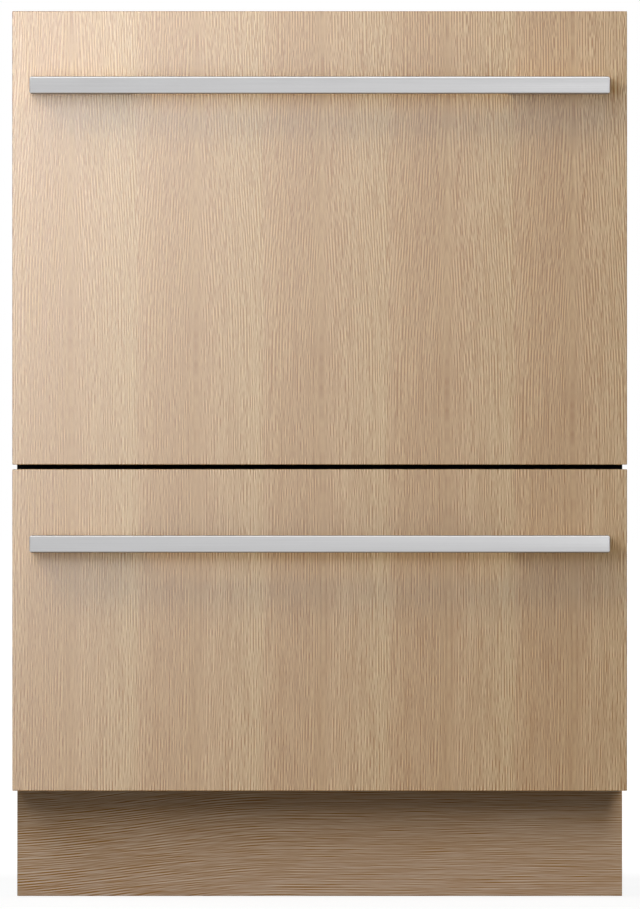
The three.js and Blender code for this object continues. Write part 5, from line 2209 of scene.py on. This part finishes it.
@dataclass
class Studio:
    """The floor, the lamps and the camera.

    Attributes:
        pixels: the photograph's width and height.
        metres_per_pixel: the scale at the fronts' face.
        middle: what the photograph's middle looks at, across and up.
        distance: from the fronts' face to the camera.
        sensor_mm: the sensor's long side.
        floor_half: half the floor's width.
        ambient: how brightly the world lights the object.
        paper: how pale the floor is.
        glow: how strongly the floor shines where no shadow may show.
        shadow_reach: from where to where the shadow fades out, from the floor's middle.
        shadow_glow: the share of the glow that is left where the shadow is.
    """

    pixels: tuple[int, int] = (640, 909)
    metres_per_pixel: float = 0.98569 * MM
    middle: tuple[float, float] = (0.3 * MM, 437.0 * MM)
    distance: float = 20.0
    sensor_mm: float = 36.0
    floor_half: float = 80.0
    ambient: float = 0.05
    paper: float = 0.86
    glow: float = 1.12
    shadow_reach: tuple[float, float] = (0.7, 1.6)
    shadow_glow: float = 0.78

    def camera(self) -> None:
        """Sets a long lens straight in front, which frames what the photograph does."""
        tall = self.pixels[1] * self.metres_per_pixel
        data = bpy.data.cameras.new("camera")
        data.sensor_width = self.sensor_mm
        data.lens = self.sensor_mm * self.distance / tall
        data.clip_start = 1.0
        data.clip_end = 5 * self.floor_half
        camera = bpy.data.objects.new("camera", data)
        bpy.context.scene.collection.objects.link(camera)
        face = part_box("upper_front_panel")[0].y
        camera.location = (self.middle[0], face - self.distance, self.middle[1])
        camera.rotation_euler = (math.pi / 2, 0, 0)
        bpy.context.scene.camera = camera

    def seen_share(self, tree: NodeTree) -> Node:
        """Finds what the camera sees, straight or in metal and glass.

        Args:
            tree: the world's or the floor's node tree.

        Returns:
            The node of a value that is 1 there and 0 elsewhere.
        """
        add = partial(add_node, tree)
        rays = add("ShaderNodeLightPath").outputs
        seen = add(MATH, {0: rays["Is Camera Ray"], 1: rays["Is Glossy Ray"]}, operation="MAXIMUM")
        return add(MATH, {0: seen, 1: rays["Is Transmission Ray"]}, operation="MAXIMUM")

    def world(self) -> None:
        """Makes a world that looks white and lights softly."""
        world = bpy.data.worlds.new("studio")
        world.use_nodes = True
        tree = world.node_tree
        background = tree.nodes["Background"]
        strength = add_node(tree, RANGE, {0: self.seen_share(tree), 3: self.ambient, 4: 1.0})
        feed(tree, background, {"Color": (1, 1, 1, 1), "Strength": strength})
        bpy.context.scene.world = world

    def floor(self) -> Object:
        """Lays a floor that looks white and keeps the object's shadow near it.

        Returns:
            The floor.
        """
        mesh = bpy.data.meshes.new("floor")
        half = self.floor_half
        corners = [(-half, -half, 0), (half, -half, 0), (half, half, 0), (-half, half, 0)]
        mesh.from_pydata(corners, [], [(0, 1, 2, 3)])
        floor = put_in_scene("floor", mesh)
        material = bpy.data.materials.new("studio_floor")
        material.use_nodes = True
        tree = material.node_tree
        add = partial(add_node, tree)
        paper = tree.nodes["Principled BSDF"]
        feed(tree, paper, {"Base Color": (*[self.paper] * 3, 1), "Roughness": 0.9})
        glow = add("ShaderNodeEmission", {"Color": (1, 1, 1, 1), "Strength": self.glow})
        place = add("ShaderNodeTexCoord").outputs["Object"]
        reach = add("ShaderNodeVectorMath", {0: place}, operation="LENGTH")
        near, far = self.shadow_reach
        bare = add(RANGE, {0: reach.outputs["Value"], 1: near, 2: far, 3: self.shadow_glow, 4: 1.0})
        share = add(MATH, {0: self.seen_share(tree), 1: bare}, operation="MULTIPLY")
        mixed = add("ShaderNodeMixShader", {0: share, 1: paper, 2: glow})
        feed(tree, tree.nodes["Material Output"], {"Surface": mixed})
        mesh.materials.append(material)
        return floor

    def lamp(
        self, name: str, place: Point, aim: Point, size: tuple[float, float], watts: float
    ) -> Object:
        """Hangs a soft rectangular lamp.

        Args:
            name: the lamp's name.
            place: where it hangs.
            aim: the point that it faces.
            size: its width and height.
            watts: its power.

        Returns:
            The lamp.
        """
        data = bpy.data.lights.new(name, "AREA")
        data.shape = "RECTANGLE"
        data.size, data.size_y = size
        data.energy = watts
        lamp = bpy.data.objects.new(name, data)
        bpy.context.scene.collection.objects.link(lamp)
        lamp.location = place
        lamp.rotation_euler = (Vector(aim) - Vector(place)).to_track_quat("-Z", "Y").to_euler()
        return lamp

    def build(self) -> None:
        """Sets the whole stage."""
        self.camera()
        self.world()
        floor = self.floor()
        front = (-0.1, -0.27, 0.5)
        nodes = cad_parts
        panels = [nodes[bay.node("front_panel")] for bay in Bay]
        handles = [nodes[bay.node("handle")] for bay in Bay]
        toe = [nodes["toe_kick"]]
        self.lamp("key", (-1.4, -1.6, 2.0), front, (0.8, 0.8), 14.5)
        low_key = self.lamp("key_low", (-1.3, -2.8, 1.1), front, (1.0, 1.3), 12.5)
        low_key.visible_glossy = False
        self.link(low_key, toe, "EXCLUDE")
        self.lamp("top", (0, -1.3, 2.4), front, (2.0, 1.0), 11)
        self.lamp("back_left", (-2.2, 2.6, 2.2), (0, 0.2, 0.5), (1.6, 1.6), 18)
        self.lamp("back_right", (2.6, 2.0, 1.8), (0, 0.2, 0.5), (1.6, 1.6), 16)
        # What lights the tubs when the drawers are open stays off the fronts and the floor.
        fills = [
            self.lamp("fill_above", (0, -0.5, 3.0), (0, -0.3, 0.5), (2.4, 2.0), 34),
            self.lamp("fill_front", (0.9, -2.6, 1.9), (0, -0.3, 0.5), (1.6, 1.6), 26),
        ]
        for lamp in fills:
            lamp.visible_glossy = False
            self.link(lamp, [*panels, *handles, *toe, floor], "EXCLUDE")
        # These only glance off what faces the camera.
        sheens = {
            self.lamp("sheen_top", (-0.5, -1.6, 1.5), (0, -0.27, 0.8), (0.9, 0.5), 21): panels,
            self.lamp("sheen_high", (-0.6, -2.3, 1.15), (0, -0.27, 0.6), (0.9, 0.9), 59): panels,
            self.lamp("sheen_low", (-0.9, -2.2, 0.5), front, (0.8, 0.8), 51): panels,
            self.lamp("sheen_right", (1.0, -3.3, 0.7), front, (0.8, 0.8), 5.2): panels + handles,
        }
        for lamp, lit in sheens.items():
            lamp.visible_diffuse = False
            self.link(lamp, lit, "INCLUDE")
        edge = self.lamp("edge", (0, -0.5, 2.2), (0, -0.3, 0.6), (1.4, 0.8), 7)
        self.link(edge, handles, "INCLUDE")
        recess = self.lamp("recess_fill", (1.0, -3.1, 1.75), (0, -0.2, 0.05), (1.2, 1.9), 84)
        self.link(recess, toe, "INCLUDE")

    @staticmethod
    def link(lamp: Object, pieces: Sequence[Object], state: str) -> None:
        """Keeps a lamp off some pieces, or lets it reach only those.

        Args:
            lamp: the lamp.
            pieces: the pieces.
            state: EXCLUDE or INCLUDE.
        """
        group = bpy.data.collections.new(lamp.name + "_receivers")
        for piece in pieces:
            group.objects.link(piece)
        for item in group.collection_objects:
            item.light_linking.link_state = state
        lamp.light_linking.receiver_collection = group


def main() -> None:
    """Builds the stage and every sub-assembly, in order."""
    logging.basicConfig(level=logging.INFO, format="%(name)s: %(message)s")
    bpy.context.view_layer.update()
    Studio().build()
    assemblies = [Cabinet(), Feet()]
    for bay in Bay:
        assemblies += [DrawerFront(bay), Slides(bay), Tub(bay), Racking(bay), WashParts(bay)]
    for assembly in assemblies:
        assembly.build()
        LOG.info("%s is built", assembly)
    bpy.context.scene.view_settings.view_transform = "Standard"


if __name__ == "__main__":
    main()
